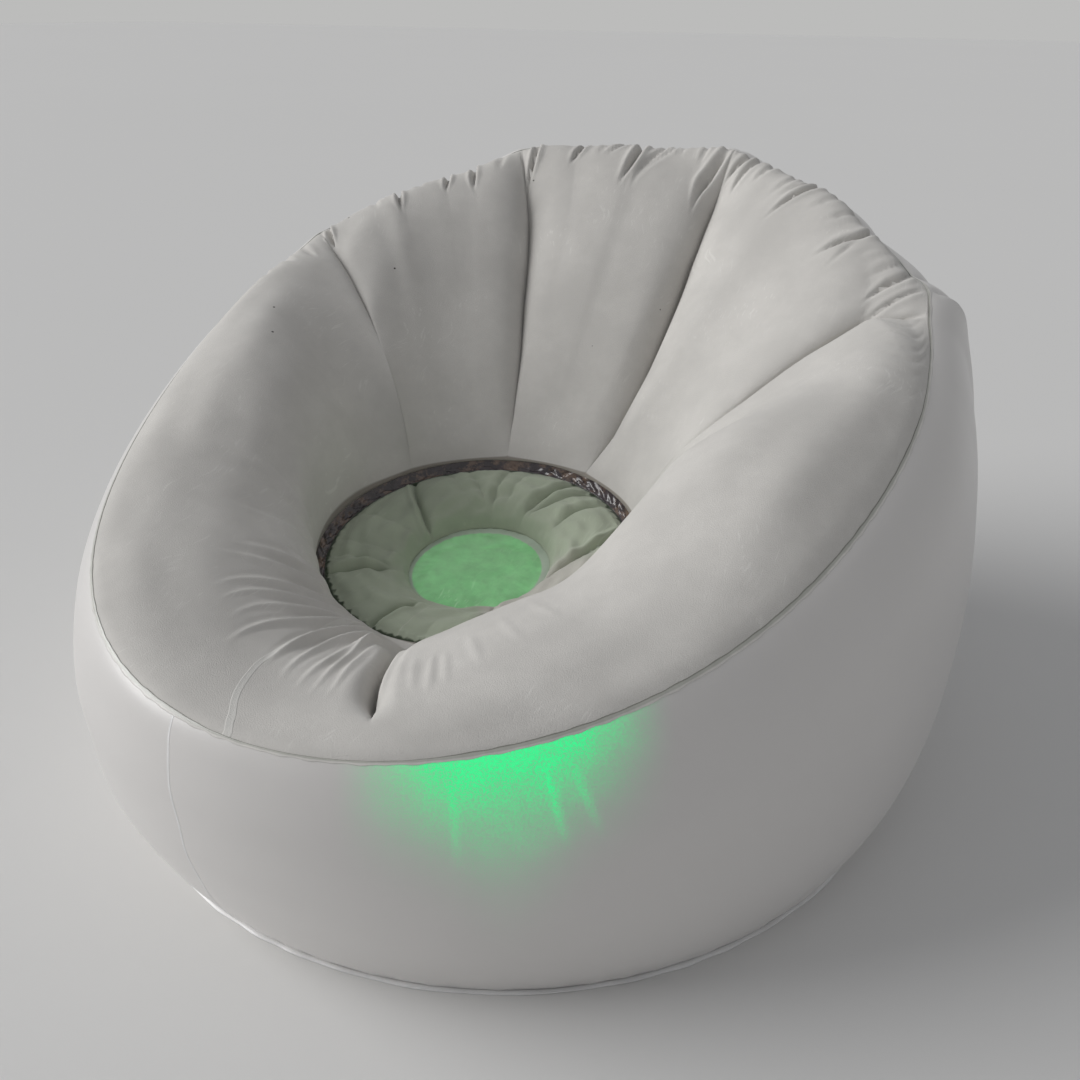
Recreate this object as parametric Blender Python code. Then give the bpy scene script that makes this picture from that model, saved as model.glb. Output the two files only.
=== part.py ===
"""Inflatable bowl chair with a light under its seat, as separate welded sheets.

Units are metres, +Z is up, the chair's front faces -Y, and the origin is the
middle of its base on the floor. Angles round the chair are measured from the
front, towards +X.
"""

import bpy
import bmesh
import numpy as np
from math import cos, pi, radians, sin
from mathutils import Matrix, Vector

# Clearances and sheet thicknesses
GAP = 0.0003
SIDE_VINYL = 0.0005
FLOCKED_VINYL = 0.0008
CLEAR_VINYL = 0.0004
BAFFLE_VINYL = 0.0004
WELD_THICKNESS = 0.0012
WELD_WIDTH = 0.009
CUT_OVERRUN = 0.004

# Base and rim of the chair, seen from above and from the side
BASE_RADIUS = 0.5185
BASE_HEM = 0.007
RIM_RADIUS = 0.5181
RIM_SHIFT = 0.0038
RIM_LENGTHENING = 0.0342
RIM_SQUARING = 0.0109
RIM_HEIGHT = 0.4903
RIM_SLOPE = 0.1882
RIM_SADDLE = 0.0091

# Side wall: angles at which its curve leaves the base and reaches the rim
BASE_HANDLE_SHARE = 0.3328
RIM_HANDLE_SHARE = 0.2086
BASE_LEAN = radians(55.06)
BASE_LEAN_FRONT = radians(1.87)
RIM_LEAN = radians(21.1)
RIM_LEAN_FRONT = radians(35.7)
RIM_LEAN_ENDS = radians(5.15)

# Seat: the ring round it, and the window at its middle, tilted back together
SEAT_X = -0.018
SEAT_Y = -0.068
SEAT_TILT = radians(8.0)
RING_HEIGHT = 0.2855
RING_RADIUS = 0.2133
RING_WIDTH = 0.0145
RING_DROP = 0.012
WINDOW_RADIUS = 0.0936
WINDOW_DEPTH = 0.051
WINDOW_DOME = 0.006
WINDOW_ROW_SHARES = (1.0, 0.66, 0.33)
SEAT_CROWN = 0.047
SEAT_CREASE_DEPTH = 0.014
SEAT_ROLL_SHARE = 1.2

# Bowl lobes: how each section rises from the ring and rolls in from the rim
RING_LIFT = 0.215
RIM_LIFT = 0.100
STATION_ANGLES = [radians(a) for a in (0, 45, 90, 120, 150, 180)]
RING_LIFT_SHARES = (0.09, 0.63, 1.00, 0.56, 0.33, 0.28)
RING_LIFT_LEANS = [radians(a) for a in (103, 98, 86, 77, 66, 60)]
RIM_LIFT_SHARES = (0.50, 0.58, 0.83, 1.00, 0.92, 0.90)
RIM_LIFT_LEANS = [radians(a) for a in (38, 42, 54, 62, 67, 68)]
CREASE_REACH = radians(32.0)

# Creases: angle about the seat, then two points of the welded line, each as
# shares of the way out to the rim and of the way up to it
CREASES = {
    "front": (radians(12.0), ((0.36, -0.10), (0.75, 0.70))),
    "right_arm": (radians(126.0), ((0.09, 0.42), (0.45, 0.68))),
    "back_right": (radians(168.5), ((0.34, 0.23), (0.73, 0.55))),
    "back_left": (radians(199.0), ((0.27, 0.27), (0.68, 0.57))),
    "left_arm": (radians(235.5), ((0.06, 0.49), (0.40, 0.71))),
}
LOBE_COLUMNS = {"front": 14, "right_arm": 9, "back_right": 8, "back_left": 8, "left_arm": 13}
COLUMN_CLUSTER_SHARE = 0.6
ROW_CLUSTER_SHARE = 0.35
SIDE_SEAM_ANGLE = radians(354.0)
BOWL_SEAM_ANGLE = radians(358.5)
SEAM_WIDTH = 0.008
WALL_ROWS = 10
BOWL_ROWS = 10
SEAT_ROWS = 6
SEAT_CREASES = [radians(a) for a in (34, 135, 160, 190, 238, 316, 354)]
SEAT_CREASE_REACH = radians(20.0)

# Air baffles and the clear tube that ties the window down
BAFFLE_EDGE_MARGIN = 0.0015
BAFFLE_TOP_MARGIN = 0.0008
BAFFLE_RIM_MARGIN = 0.004
BAFFLE_FOOT = 0.0016
BAFFLE_HOLE_RADIUS = 0.034
BAFFLE_SLANT = 0.030
BAFFLE_HOLE_LEVEL = 0.085
BAFFLE_HOLE_PITCH = 0.100
TUBE_BASE_RADIUS = 0.082
TUBE_HOLE_RADIUS = 0.020
TUBE_HOLE_REACH = 0.370

# Light pocket in the base and the light unit that pushes up into it
POCKET_RADIUS = 0.0560
POCKET_HEIGHT = 0.0480
POCKET_FLANGE = 0.0680
COLLAR_THICKNESS = 0.0024
COLLAR_HEIGHT = 0.0100
COLLAR_FOOT = 0.0030
UNIT_FOOT = 0.0040
UNIT_RADIUS = 0.0526
UNIT_WALL = 0.0020
HOUSING_HEIGHT = 0.0250
LENS_HEIGHT = 0.0120
LENS_EDGE = 0.0050
LEDGE_WIDTH = 0.0030
LEDGE_THICKNESS = 0.0020
BOARD_THICKNESS = 0.0016
LED_SIDE = 0.0050
LED_HEIGHT = 0.0016
LED_CIRCLE = 0.0180
LED_COUNT = 4
CELL_COUNT = 3
CELL_RADIUS = 0.0052
CELL_LENGTH = 0.0440
CELL_PITCH = 0.0112
CELL_TIP_RADIUS = 0.0019
CELL_TIP_LENGTH = 0.0010
DOOR_LENGTH = 0.0640
DOOR_WIDTH = 0.0370
TRAY_WALL = 0.0012
TRAY_LEDGE = 0.0025
CONTACT_THICKNESS = 0.0005
CONTACT_HEIGHT = 0.0080
SCREW_RADIUS = 0.0022
SCREW_HEAD_RADIUS = 0.0040
SCREW_HEAD = 0.0012
SCREW_LENGTH = 0.0080
SCREW_SLOT = 0.0008
BUTTON_RADIUS = 0.0046
BUTTON_HEIGHT = 0.0050
BUTTON_FLANGE = 0.0014
BUTTON_TRAVEL = 0.0015
BUTTON_OFFSET = 0.0370
SWITCH_SIDE = 0.0060

# Inflation valve low in the back of the side wall
VALVE_ANGLE = radians(180.0)
VALVE_HEIGHT = 0.300
VALVE_SET_IN = 0.0034
VALVE_FLANGE_RADIUS = 0.0240
VALVE_FLANGE = 0.0012
VALVE_NECK_RADIUS = 0.0150
VALVE_BORE = 0.0120
VALVE_PROUD = 0.0040
VALVE_DEPTH = 0.0200
VALVE_CAP_RADIUS = 0.0165
VALVE_CAP_THICKNESS = 0.0020
VALVE_PLUG_RADIUS = 0.0114
VALVE_PLUG_LENGTH = 0.0035
STRAP_RADIUS = 0.0175
STRAP_THICKNESS = 0.0012
STRAP_LIFT = 0.0022
TONGUE_REACH = 0.0195
TONGUE_WIDTH = 0.0100
FLAP_RADIUS = 0.0136
FLAP_THICKNESS = 0.0010

SEGMENTS = 32
SMALL_SEGMENTS = 16
BASE_SEGMENTS = 64
LENS_STEPS = 5
SMOOTH_ANGLE = radians(40.0)
RIM_SEARCH_STEPS = 40


def clear_scene():
    """Start from an empty scene."""
    for old in list(bpy.data.objects):
        bpy.data.objects.remove(old, do_unlink=True)


def material(name, colour, roughness, metallic=0.0, alpha=1.0, emission=None):
    """A plain Principled finish for one kind of piece."""
    mat = bpy.data.materials.new(name)
    mat.use_nodes = True
    shader = mat.node_tree.nodes["Principled BSDF"]
    shader.inputs["Base Color"].default_value = (*colour, 1.0)
    shader.inputs["Roughness"].default_value = roughness
    shader.inputs["Metallic"].default_value = metallic
    shader.inputs["Alpha"].default_value = alpha
    if emission:
        shader.inputs["Emission Color"].default_value = (*emission, 1.0)
        shader.inputs["Emission Strength"].default_value = 1.0
    return mat


def add_object(name, mesh, mat, smooth=True):
    """Put a finished mesh in the scene as one named sub-part."""
    obj = bpy.data.objects.new(name, mesh)
    bpy.context.scene.collection.objects.link(obj)
    mesh.materials.clear()
    mesh.materials.append(mat)
    if smooth:
        mesh.shade_smooth()
        mesh.set_sharp_from_angle(angle=SMOOTH_ANGLE)
    return obj


def add_cutter(name, mesh):
    """A hidden helper that a Boolean modifier cuts with."""
    obj = bpy.data.objects.new(name, mesh)
    bpy.context.scene.collection.objects.link(obj)
    obj.hide_render = True
    obj.display_type = "WIRE"
    return obj


def cut(obj, cutter):
    """Subtract one helper from a sub-part."""
    mod = obj.modifiers.new(cutter.name, "BOOLEAN")
    mod.operation = "DIFFERENCE"
    mod.solver = "EXACT"
    mod.object = cutter


# Curves that the sheets follow

def bezier(p0, p1, p2, p3, t):
    """Points of a cubic curve at the values t, for arrays of end points."""
    t = t[:, None]
    return ((1 - t) ** 3 * p0 + 3 * (1 - t) ** 2 * t * p1
            + 3 * (1 - t) * t ** 2 * p2 + t ** 3 * p3)


def around(angle):
    """Unit direction on the floor at an angle from the front."""
    return np.array([sin(angle), -cos(angle), 0.0])


def rim_point(angle):
    """Point of the rim line, at an angle about the middle of the base."""
    radius = (RIM_RADIUS - RIM_SHIFT * cos(angle) + RIM_LENGTHENING * cos(2 * angle)
              + RIM_SQUARING * cos(3 * angle))
    height = RIM_HEIGHT - RIM_SLOPE * cos(angle) + RIM_SADDLE * cos(2 * angle)
    return radius * around(angle) + np.array([0.0, 0.0, height])


def rim_angle(seat_angle):
    """Angle about the base of the rim point that a seat-centred angle meets."""
    angle = seat_angle
    for _ in range(RIM_SEARCH_STEPS):
        point = rim_point(angle)
        seen = np.arctan2(point[0] - SEAT_X, SEAT_Y - point[1])
        error = (seen - seat_angle + pi) % (2 * pi) - pi
        angle -= error
    return angle


def seat_point(angle, radius, lift):
    """Point of the tilted seat, at a radius from its middle and above its ring."""
    back = -radius * cos(angle)
    return np.array([
        SEAT_X + radius * sin(angle),
        SEAT_Y + back * cos(SEAT_TILT) - lift * sin(SEAT_TILT),
        RING_HEIGHT + back * sin(SEAT_TILT) + lift * cos(SEAT_TILT),
    ])


def at_station(values, angle):
    """A value given at the stations round one half of the bowl, smoothly joined."""
    folded = abs((angle + pi) % (2 * pi) - pi)
    upper = int(np.searchsorted(STATION_ANGLES, folded, side="right"))
    upper = min(max(upper, 1), len(STATION_ANGLES) - 1)
    low, high = STATION_ANGLES[upper - 1], STATION_ANGLES[upper]
    share = (1 - cos(pi * (folded - low) / (high - low))) / 2
    return values[upper - 1] + share * (values[upper] - values[upper - 1])


def puff(distance, reach):
    """Rise of a lobe from a crease, 0 at the crease and 1 past its reach."""
    share = min(abs(distance) / reach, 1.0)
    return (1 - (1 - share) ** 2) ** 0.5


def turn_between(a, b):
    """Signed turn from angle a to angle b."""
    return (b - a + pi) % (2 * pi) - pi


def lobe_columns():
    """Seat angles of the mesh columns, closer together beside each crease."""
    names = list(CREASES)
    columns = []
    for name, following in zip(names, names[1:] + names[:1]):
        start = CREASES[name][0]
        span = (CREASES[following][0] - start) % (2 * pi)
        count = LOBE_COLUMNS[name]
        for k in range(count):
            even = k / count
            eased = (1 - cos(pi * even)) / 2
            share = even + COLUMN_CLUSTER_SHARE * (eased - even)
            columns.append((start + span * share) % (2 * pi))
    return sorted(columns)


def seam_columns(columns, angle, radius):
    """Replace the columns at a seam by its two edges."""
    half = SEAM_WIDTH / radius / 2
    kept = [c for c in columns if abs(turn_between(c, angle)) > 2 * half]
    return sorted(kept + [angle - half, angle + half])


def crease_section(angle):
    """Control points of the bowl's section at an angle: shares puffed by lobe."""
    ring = seat_point(angle, RING_RADIUS, 0.0)
    rim = rim_point(rim_angle(angle))
    reach = np.hypot(*(rim - ring)[:2])
    rise = rim[2] - ring[2]
    ring_lift = RING_LIFT * at_station(RING_LIFT_SHARES, angle)
    ring_lean = at_station(RING_LIFT_LEANS, angle)
    rim_lift = RIM_LIFT * at_station(RIM_LIFT_SHARES, angle)
    rim_lean = at_station(RIM_LIFT_LEANS, angle)
    full_1 = ring_lift * np.array([cos(ring_lean), sin(ring_lean)])
    full_2 = np.array([reach, rise]) + rim_lift * np.array([-cos(rim_lean), sin(rim_lean)])
    names = list(CREASES)
    turns = [turn_between(CREASES[n][0], angle) for n in names]
    nearest = min(range(len(names)), key=lambda i: abs(turns[i]))
    gaps = [abs(turn_between(CREASES[n][0], CREASES[names[nearest]][0])) for n in names]
    gaps.pop(nearest)
    width = min(CREASE_REACH, min(gaps) / 2)
    share = puff(turns[nearest], width)
    deep_1, deep_2 = (np.array([out * reach, up * rise])
                      for out, up in CREASES[names[nearest]][1])
    return ring, rim, deep_1 + share * (full_1 - deep_1), deep_2 + share * (full_2 - deep_2)


def bowl_column(angle):
    """Points up the bowl at an angle, from its rim weld down to the seat ring."""
    ring, rim, low, high = crease_section(angle)
    outward = rim - ring
    reach = np.hypot(*outward[:2])
    level = np.array([*outward[:2], 0.0]) / reach
    up = np.array([0.0, 0.0, 1.0])
    p1 = ring + low[0] * level + low[1] * up
    p2 = ring + high[0] * level + high[1] * up
    t = np.linspace(1.0, 0.0, BOWL_ROWS + 1)
    t = t + ROW_CLUSTER_SHARE * t * (1 - t)
    points = bezier(ring, p1, p2, rim, t)
    away = (p2 - rim) / np.linalg.norm(p2 - rim)
    points[0] = rim + (WELD_WIDTH / 2 + GAP / 2) * away
    inward = (p1 - ring) / np.linalg.norm(p1 - ring)
    points[-1] = ring + GAP * inward
    return points, away


def wall_column(angle):
    """Points up the side wall at an angle about the base, from hem to rim weld."""
    foot = BASE_RADIUS * around(angle) + np.array([0.0, 0.0, WELD_THICKNESS + GAP])
    rim = rim_point(angle)
    chord = np.linalg.norm(rim - foot)
    base_lean = BASE_LEAN - BASE_LEAN_FRONT * cos(angle)
    rim_lean = RIM_LEAN + RIM_LEAN_FRONT * cos(angle) - RIM_LEAN_ENDS * cos(2 * angle)
    up = np.array([0.0, 0.0, 1.0])
    p1 = foot + BASE_HANDLE_SHARE * chord * (cos(base_lean) * around(angle) + sin(base_lean) * up)
    p2 = rim + RIM_HANDLE_SHARE * chord * (cos(rim_lean) * around(angle) - sin(rim_lean) * up)
    points = bezier(foot, p1, p2, rim, np.linspace(0.0, 1.0, WALL_ROWS + 1))
    away = (p2 - rim) / np.linalg.norm(p2 - rim)
    points[-1] = rim + (WELD_WIDTH / 2 + GAP / 2) * away
    return points, away


# Sheets made from grids of points

def grid_normals(grid, wrap):
    """Outward unit normals of a grid whose columns run round the chair."""
    if wrap:
        along = np.roll(grid, -1, axis=0) - np.roll(grid, 1, axis=0)
    else:
        along = np.gradient(grid, axis=0)
    across = np.gradient(grid, axis=1)
    normals = np.cross(along, across)
    return normals / np.linalg.norm(normals, axis=2)[:, :, None]


def sheet(name, grid, normals, thickness, mat, wrap=False):
    """A closed sheet: the grid is its outer face, its other face lies behind."""
    columns, rows = grid.shape[:2]
    front = grid.reshape(-1, 3)
    back = (grid - thickness * normals).reshape(-1, 3)
    verts = np.vstack([front, back])
    offset = columns * rows
    faces = []
    spans = columns if wrap else columns - 1
    for i in range(spans):
        following = (i + 1) % columns
        for j in range(rows - 1):
            a, b = i * rows + j, following * rows + j
            faces.append((a, b, b + 1, a + 1))
            faces.append((a + offset, a + 1 + offset, b + 1 + offset, b + offset))
        low_a, low_b = i * rows, following * rows
        top_a, top_b = low_a + rows - 1, low_b + rows - 1
        faces.append((low_a, low_a + offset, low_b + offset, low_b))
        faces.append((top_a, top_b, top_b + offset, top_a + offset))
    if not wrap:
        last = (columns - 1) * rows
        for j in range(rows - 1):
            faces.append((j, j + 1, j + 1 + offset, j + offset))
            faces.append((last + j + 1, last + j, last + j + offset, last + j + 1 + offset))
    mesh = bpy.data.meshes.new(name)
    mesh.from_pydata(verts.tolist(), [], faces)
    build = bmesh.new()
    build.from_mesh(mesh)
    bmesh.ops.recalc_face_normals(build, faces=build.faces)
    build.to_mesh(mesh)
    build.free()
    return add_object(name, mesh, mat)


def open_at(grid, normals, seam):
    """Order a closed grid's columns to start and end at a seam, and pull back."""
    order = np.roll(np.arange(len(grid)), -(seam + 1))
    strip, facing = grid[order].copy(), normals[order]
    for end, neighbour in ((0, 1), (-1, -2)):
        along = strip[neighbour] - strip[end]
        along /= np.linalg.norm(along, axis=1)[:, None]
        strip[end] += GAP / 2 * along
    return strip, facing


def seam_strip(grid, normals, seam):
    """The narrow strip between a seam's two columns, pulled back at each side."""
    pair = grid[[seam, (seam + 1) % len(grid)]].copy()
    along = pair[1] - pair[0]
    along /= np.linalg.norm(along, axis=1)[:, None]
    pair[0] += GAP / 2 * along
    pair[1] -= GAP / 2 * along
    return pair, normals[[seam, (seam + 1) % len(grid)]]


def make_shell(finish):
    """The side wall, the flocked bowl and the weld that joins them at the rim."""
    seat_angles = lobe_columns()
    seat_angles = seam_columns(seat_angles, BOWL_SEAM_ANGLE, RIM_RADIUS)
    seat_angles = seam_columns(seat_angles, SIDE_SEAM_ANGLE, RIM_RADIUS)
    walls, bands, bowls = [], [], []
    for angle in seat_angles:
        base_angle = rim_angle(angle)
        rim = rim_point(base_angle)
        wall, down = wall_column(base_angle)
        bowl, over = bowl_column(angle)
        half = WELD_WIDTH / 2 - GAP / 2
        walls.append(wall)
        bands.append([rim + half * down, rim, rim + half * over])
        bowls.append(bowl)
    wall, band, bowl = np.array(walls), np.array(bands), np.array(bowls)
    whole = np.concatenate([wall, band, bowl], axis=1)
    normals = grid_normals(whole, True)
    normals[:, WALL_ROWS] = normals[:, WALL_ROWS + 1]
    normals[:, WALL_ROWS + 4] = normals[:, WALL_ROWS + 3]
    wall_n = normals[:, :WALL_ROWS + 1]
    band_n = normals[:, WALL_ROWS + 1:WALL_ROWS + 4]
    bowl_n = normals[:, WALL_ROWS + 4:]
    sheet("rim_weld", band, band_n, WELD_THICKNESS, finish["weld"], wrap=True)
    side = seam_index(seat_angles, SIDE_SEAM_ANGLE)
    sheet("side_wall", *open_at(wall, wall_n, side), SIDE_VINYL, finish["frosted"])
    sheet("side_wall_weld", *seam_strip(wall, wall_n, side), 2 * SIDE_VINYL, finish["weld"])
    top = seam_index(seat_angles, BOWL_SEAM_ANGLE)
    sheet("bowl_panel", *open_at(bowl, bowl_n, top), FLOCKED_VINYL, finish["flocked"])
    sheet("bowl_panel_weld", *seam_strip(bowl, bowl_n, top), WELD_THICKNESS, finish["flocked"])
    return seat_angles, whole, normals


def seam_index(columns, angle):
    """Index of the column just before a seam."""
    turns = [turn_between(c, angle) for c in columns]
    return min((t, i) for i, t in enumerate(turns) if t > 0)[1]


def make_seat(seat_angles, finish):
    """The clear ring, the flocked seat round its window, and the window."""
    inner = RING_RADIUS - RING_WIDTH
    ring = [[seat_point(a, inner + GAP, GAP - RING_DROP), seat_point(a, RING_RADIUS - GAP, -GAP)]
            for a in seat_angles]
    ring = np.array(ring)[:, ::-1]
    sheet("clear_ring", ring, grid_normals(ring, True), CLEAR_VINYL, finish["clear"], wrap=True)
    columns = []
    for angle in seat_angles:
        turn = min(abs(turn_between(c, angle)) for c in SEAT_CREASES)
        depth = SEAT_CREASE_DEPTH * (1 - puff(turn, SEAT_CREASE_REACH))
        start = np.array([inner - GAP, -RING_DROP])
        finish_at = np.array([WINDOW_RADIUS + GAP, -WINDOW_DEPTH])
        out = np.array([inner, SEAT_CROWN - RING_DROP - depth])
        into = np.array([SEAT_ROLL_SHARE * WINDOW_RADIUS, SEAT_CROWN - RING_DROP - depth])
        section = bezier(start, out, into, finish_at, np.linspace(0.0, 1.0, SEAT_ROWS + 1))
        columns.append([seat_point(angle, r, lift) for r, lift in section])
    seat = np.array(columns)
    sheet("seat_panel", seat, grid_normals(seat, True), FLOCKED_VINYL, finish["seat"], wrap=True)
    make_window(seat_angles, finish)


def make_window(seat_angles, finish):
    """The domed window at the middle of the seat, closed at its centre."""
    top, under = [], []
    for share in WINDOW_ROW_SHARES:
        rise = 1 - share ** 2
        top.append([seat_point(a, share * WINDOW_RADIUS, rise * WINDOW_DOME - WINDOW_DEPTH)
                    for a in seat_angles])
        under.append([seat_point(a, share * WINDOW_RADIUS,
                                 rise * WINDOW_DOME - WINDOW_DEPTH - FLOCKED_VINYL)
                      for a in seat_angles])
    build = bmesh.new()
    loops = [[build.verts.new(p) for p in ring] for ring in under[::-1] + top]
    count = len(seat_angles)
    for below, above in zip(loops, loops[1:]):
        for i in range(count):
            build.faces.new((below[i], below[(i + 1) % count], above[(i + 1) % count], above[i]))
    for loop, lift in ((loops[0], WINDOW_DOME - FLOCKED_VINYL), (loops[-1], WINDOW_DOME)):
        middle = build.verts.new(seat_point(0.0, 0.0, lift - WINDOW_DEPTH))
        for i in range(count):
            build.faces.new((middle, loop[i], loop[(i + 1) % count]))
    bmesh.ops.recalc_face_normals(build, faces=build.faces)
    mesh = bpy.data.meshes.new("seat_window")
    build.to_mesh(mesh)
    build.free()
    add_object("seat_window", mesh, finish["window"])


# Baffles

def inside_wall(point, angle):
    """Distance from the seat axis, along an angle, of a wall point's radius."""
    radius = np.hypot(point[0], point[1])
    direction = around(angle)
    seat = np.array([SEAT_X, SEAT_Y, 0.0])
    along = seat @ direction
    return -along + (along ** 2 - seat @ seat + radius ** 2) ** 0.5


def baffle_outline(column, angle, whole, normals):
    """Outline of a baffle in its own plane: distance from the seat axis, height."""
    direction = around(angle)
    seat = np.array([SEAT_X, SEAT_Y, 0.0])
    rim_row = WALL_ROWS + 2
    points, facing = whole[column], normals[column]
    wall, wall_n = points[:rim_row - 2], facing[:rim_row - 2]
    bowl, bowl_n = points[rim_row + 2:], facing[rim_row + 2:]
    top = bowl - (FLOCKED_VINYL + GAP) * bowl_n
    top = [((p - seat) @ direction, p[2] - BAFFLE_TOP_MARGIN) for p in top[1:]]
    corner = points[rim_row] - BAFFLE_RIM_MARGIN * facing[rim_row]
    inside = wall - (SIDE_VINYL + BAFFLE_EDGE_MARGIN) * wall_n
    outer = [(inside_wall(p, angle), p[2]) for p in inside[1:]]
    foot = (inside_wall(inside[0], angle) - BAFFLE_EDGE_MARGIN, BAFFLE_FOOT)
    inner_foot = (top[-1][0] + BAFFLE_SLANT, BAFFLE_FOOT)
    return top + [inner_foot, foot] + outer + [((corner - seat) @ direction, corner[2])]


def make_baffle(name, angle, outline, finish):
    """A flat sheet on a radial plane under a crease, with holes for the air."""
    curve = bpy.data.curves.new(name, "CURVE")
    curve.dimensions = "2D"
    curve.fill_mode = "BOTH"
    curve.extrude = BAFFLE_VINYL / 2
    loops = [outline] + baffle_holes(outline)
    for loop in loops:
        spline = curve.splines.new("POLY")
        spline.points.add(len(loop) - 1)
        for point, (x, y) in zip(spline.points, loop):
            point.co = (x, y, 0.0, 1.0)
        spline.use_cyclic_u = True
    obj = bpy.data.objects.new(name, curve)
    bpy.context.scene.collection.objects.link(obj)
    curve.materials.append(finish["baffle"])
    direction = Vector(around(angle))
    up = Vector((0.0, 0.0, 1.0))
    turned = Matrix((direction, up, direction.cross(up))).transposed().to_4x4()
    obj.matrix_world = Matrix.Translation((SEAT_X, SEAT_Y, 0.0)) @ turned


def baffle_holes(outline):
    """Round air holes in the lower half, evenly spaced between the foot's two ends."""
    feet = [p[0] for p in outline if p[1] <= BAFFLE_FOOT]
    low, high = min(feet), max(feet)
    count = int((high - low) / BAFFLE_HOLE_PITCH)
    turns = [2 * pi * k / SMALL_SEGMENTS for k in range(SMALL_SEGMENTS)]
    holes = []
    for hole in range(count):
        middle = low + (high - low) * (2 * hole + 1) / (2 * count)
        holes.append([(middle + BAFFLE_HOLE_RADIUS * cos(turn),
                       BAFFLE_HOLE_LEVEL + BAFFLE_HOLE_RADIUS * sin(turn)) for turn in turns])
    return holes


# Turned and boxed pieces

def turned(name, profile, mat, centre=(SEAT_X, SEAT_Y, 0.0), segments=SEGMENTS):
    """A piece turned about a vertical axis from a closed profile of radius, height."""
    build = bmesh.new()
    rings = []
    for radius, height in profile:
        if radius == 0.0:
            rings.append([build.verts.new((0.0, 0.0, height))])
            continue
        rings.append([build.verts.new((radius * cos(2 * pi * k / segments),
                                       radius * sin(2 * pi * k / segments), height))
                      for k in range(segments)])
    for a, b in zip(rings, rings[1:] + rings[:1]):
        if len(a) == 1 and len(b) == 1:
            continue
        for k in range(segments):
            following = (k + 1) % segments
            if len(a) == 1:
                build.faces.new((a[0], b[k], b[following]))
            elif len(b) == 1:
                build.faces.new((a[k], b[0], a[following]))
            else:
                build.faces.new((a[k], a[following], b[following], b[k]))
    bmesh.ops.recalc_face_normals(build, faces=build.faces)
    mesh = bpy.data.meshes.new(name)
    build.to_mesh(mesh)
    build.free()
    obj = add_object(name, mesh, mat) if mat else add_cutter(name, mesh)
    obj.location = centre
    return obj


def box(name, low, high, mat):
    """A box between two corners, with its origin at its middle."""
    low, high = Vector(low), Vector(high)
    build = bmesh.new()
    add_box(build, (low - high) / 2, (high - low) / 2)
    mesh = bpy.data.meshes.new(name)
    build.to_mesh(mesh)
    build.free()
    obj = add_object(name, mesh, mat, smooth=False) if mat else add_cutter(name, mesh)
    obj.location = (low + high) / 2
    return obj


def carry(name, place, pieces):
    """An empty at a joint, and the named pieces that move with it."""
    empty = bpy.data.objects.new(name, None)
    bpy.context.scene.collection.objects.link(empty)
    empty.matrix_world = place
    for piece in pieces:
        obj = bpy.data.objects[piece]
        obj.parent = empty
        obj.matrix_parent_inverse = place.inverted()


def add_box(build, low, high):
    """Add one box to a mesh under construction."""
    low, high = Vector(low), Vector(high)
    placed = Matrix.Translation((low + high) / 2) @ Matrix.Diagonal((*(high - low), 1.0))
    bmesh.ops.create_cube(build, size=1.0, matrix=placed)


def make_base(finish):
    """The bottom panel with its mouth for the light, and the hem round the base."""
    hem_inner = BASE_RADIUS - WELD_WIDTH / 2
    hem_outer = BASE_RADIUS + BASE_HEM
    turned("base_weld", [(hem_inner, 0.0), (hem_outer, 0.0), (hem_outer, WELD_THICKNESS),
                         (hem_inner, WELD_THICKNESS)], finish["weld"], (0.0, 0.0, 0.0), BASE_SEGMENTS)
    panel = turned("bottom_panel", [(0.0, 0.0), (hem_inner - GAP, 0.0),
                                    (hem_inner - GAP, SIDE_VINYL), (0.0, SIDE_VINYL)],
                   finish["frosted"], (0.0, 0.0, 0.0), BASE_SEGMENTS)
    mouth = POCKET_RADIUS - CLEAR_VINYL
    cut(panel, turned("pocket_mouth_cutter", [(0.0, -CUT_OVERRUN), (mouth, -CUT_OVERRUN),
                                              (mouth, CUT_OVERRUN), (0.0, CUT_OVERRUN)], None))


def make_pocket(finish):
    """The clear cup welded into the base, and the stiff collar in its mouth."""
    foot = SIDE_VINYL + GAP
    inner = POCKET_RADIUS - CLEAR_VINYL
    turned("light_pocket", [
        (inner, foot), (POCKET_FLANGE, foot), (POCKET_FLANGE, foot + CLEAR_VINYL),
        (POCKET_RADIUS, foot + CLEAR_VINYL), (POCKET_RADIUS, POCKET_HEIGHT),
        (0.0, POCKET_HEIGHT), (0.0, POCKET_HEIGHT - CLEAR_VINYL),
        (inner, POCKET_HEIGHT - CLEAR_VINYL)], finish["clear"])
    outer = inner - GAP
    turned("pocket_collar", [
        (outer - COLLAR_THICKNESS, COLLAR_FOOT), (outer, COLLAR_FOOT),
        (outer, COLLAR_FOOT + COLLAR_HEIGHT),
        (outer - COLLAR_THICKNESS, COLLAR_FOOT + COLLAR_HEIGHT)], finish["collar"])


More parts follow.
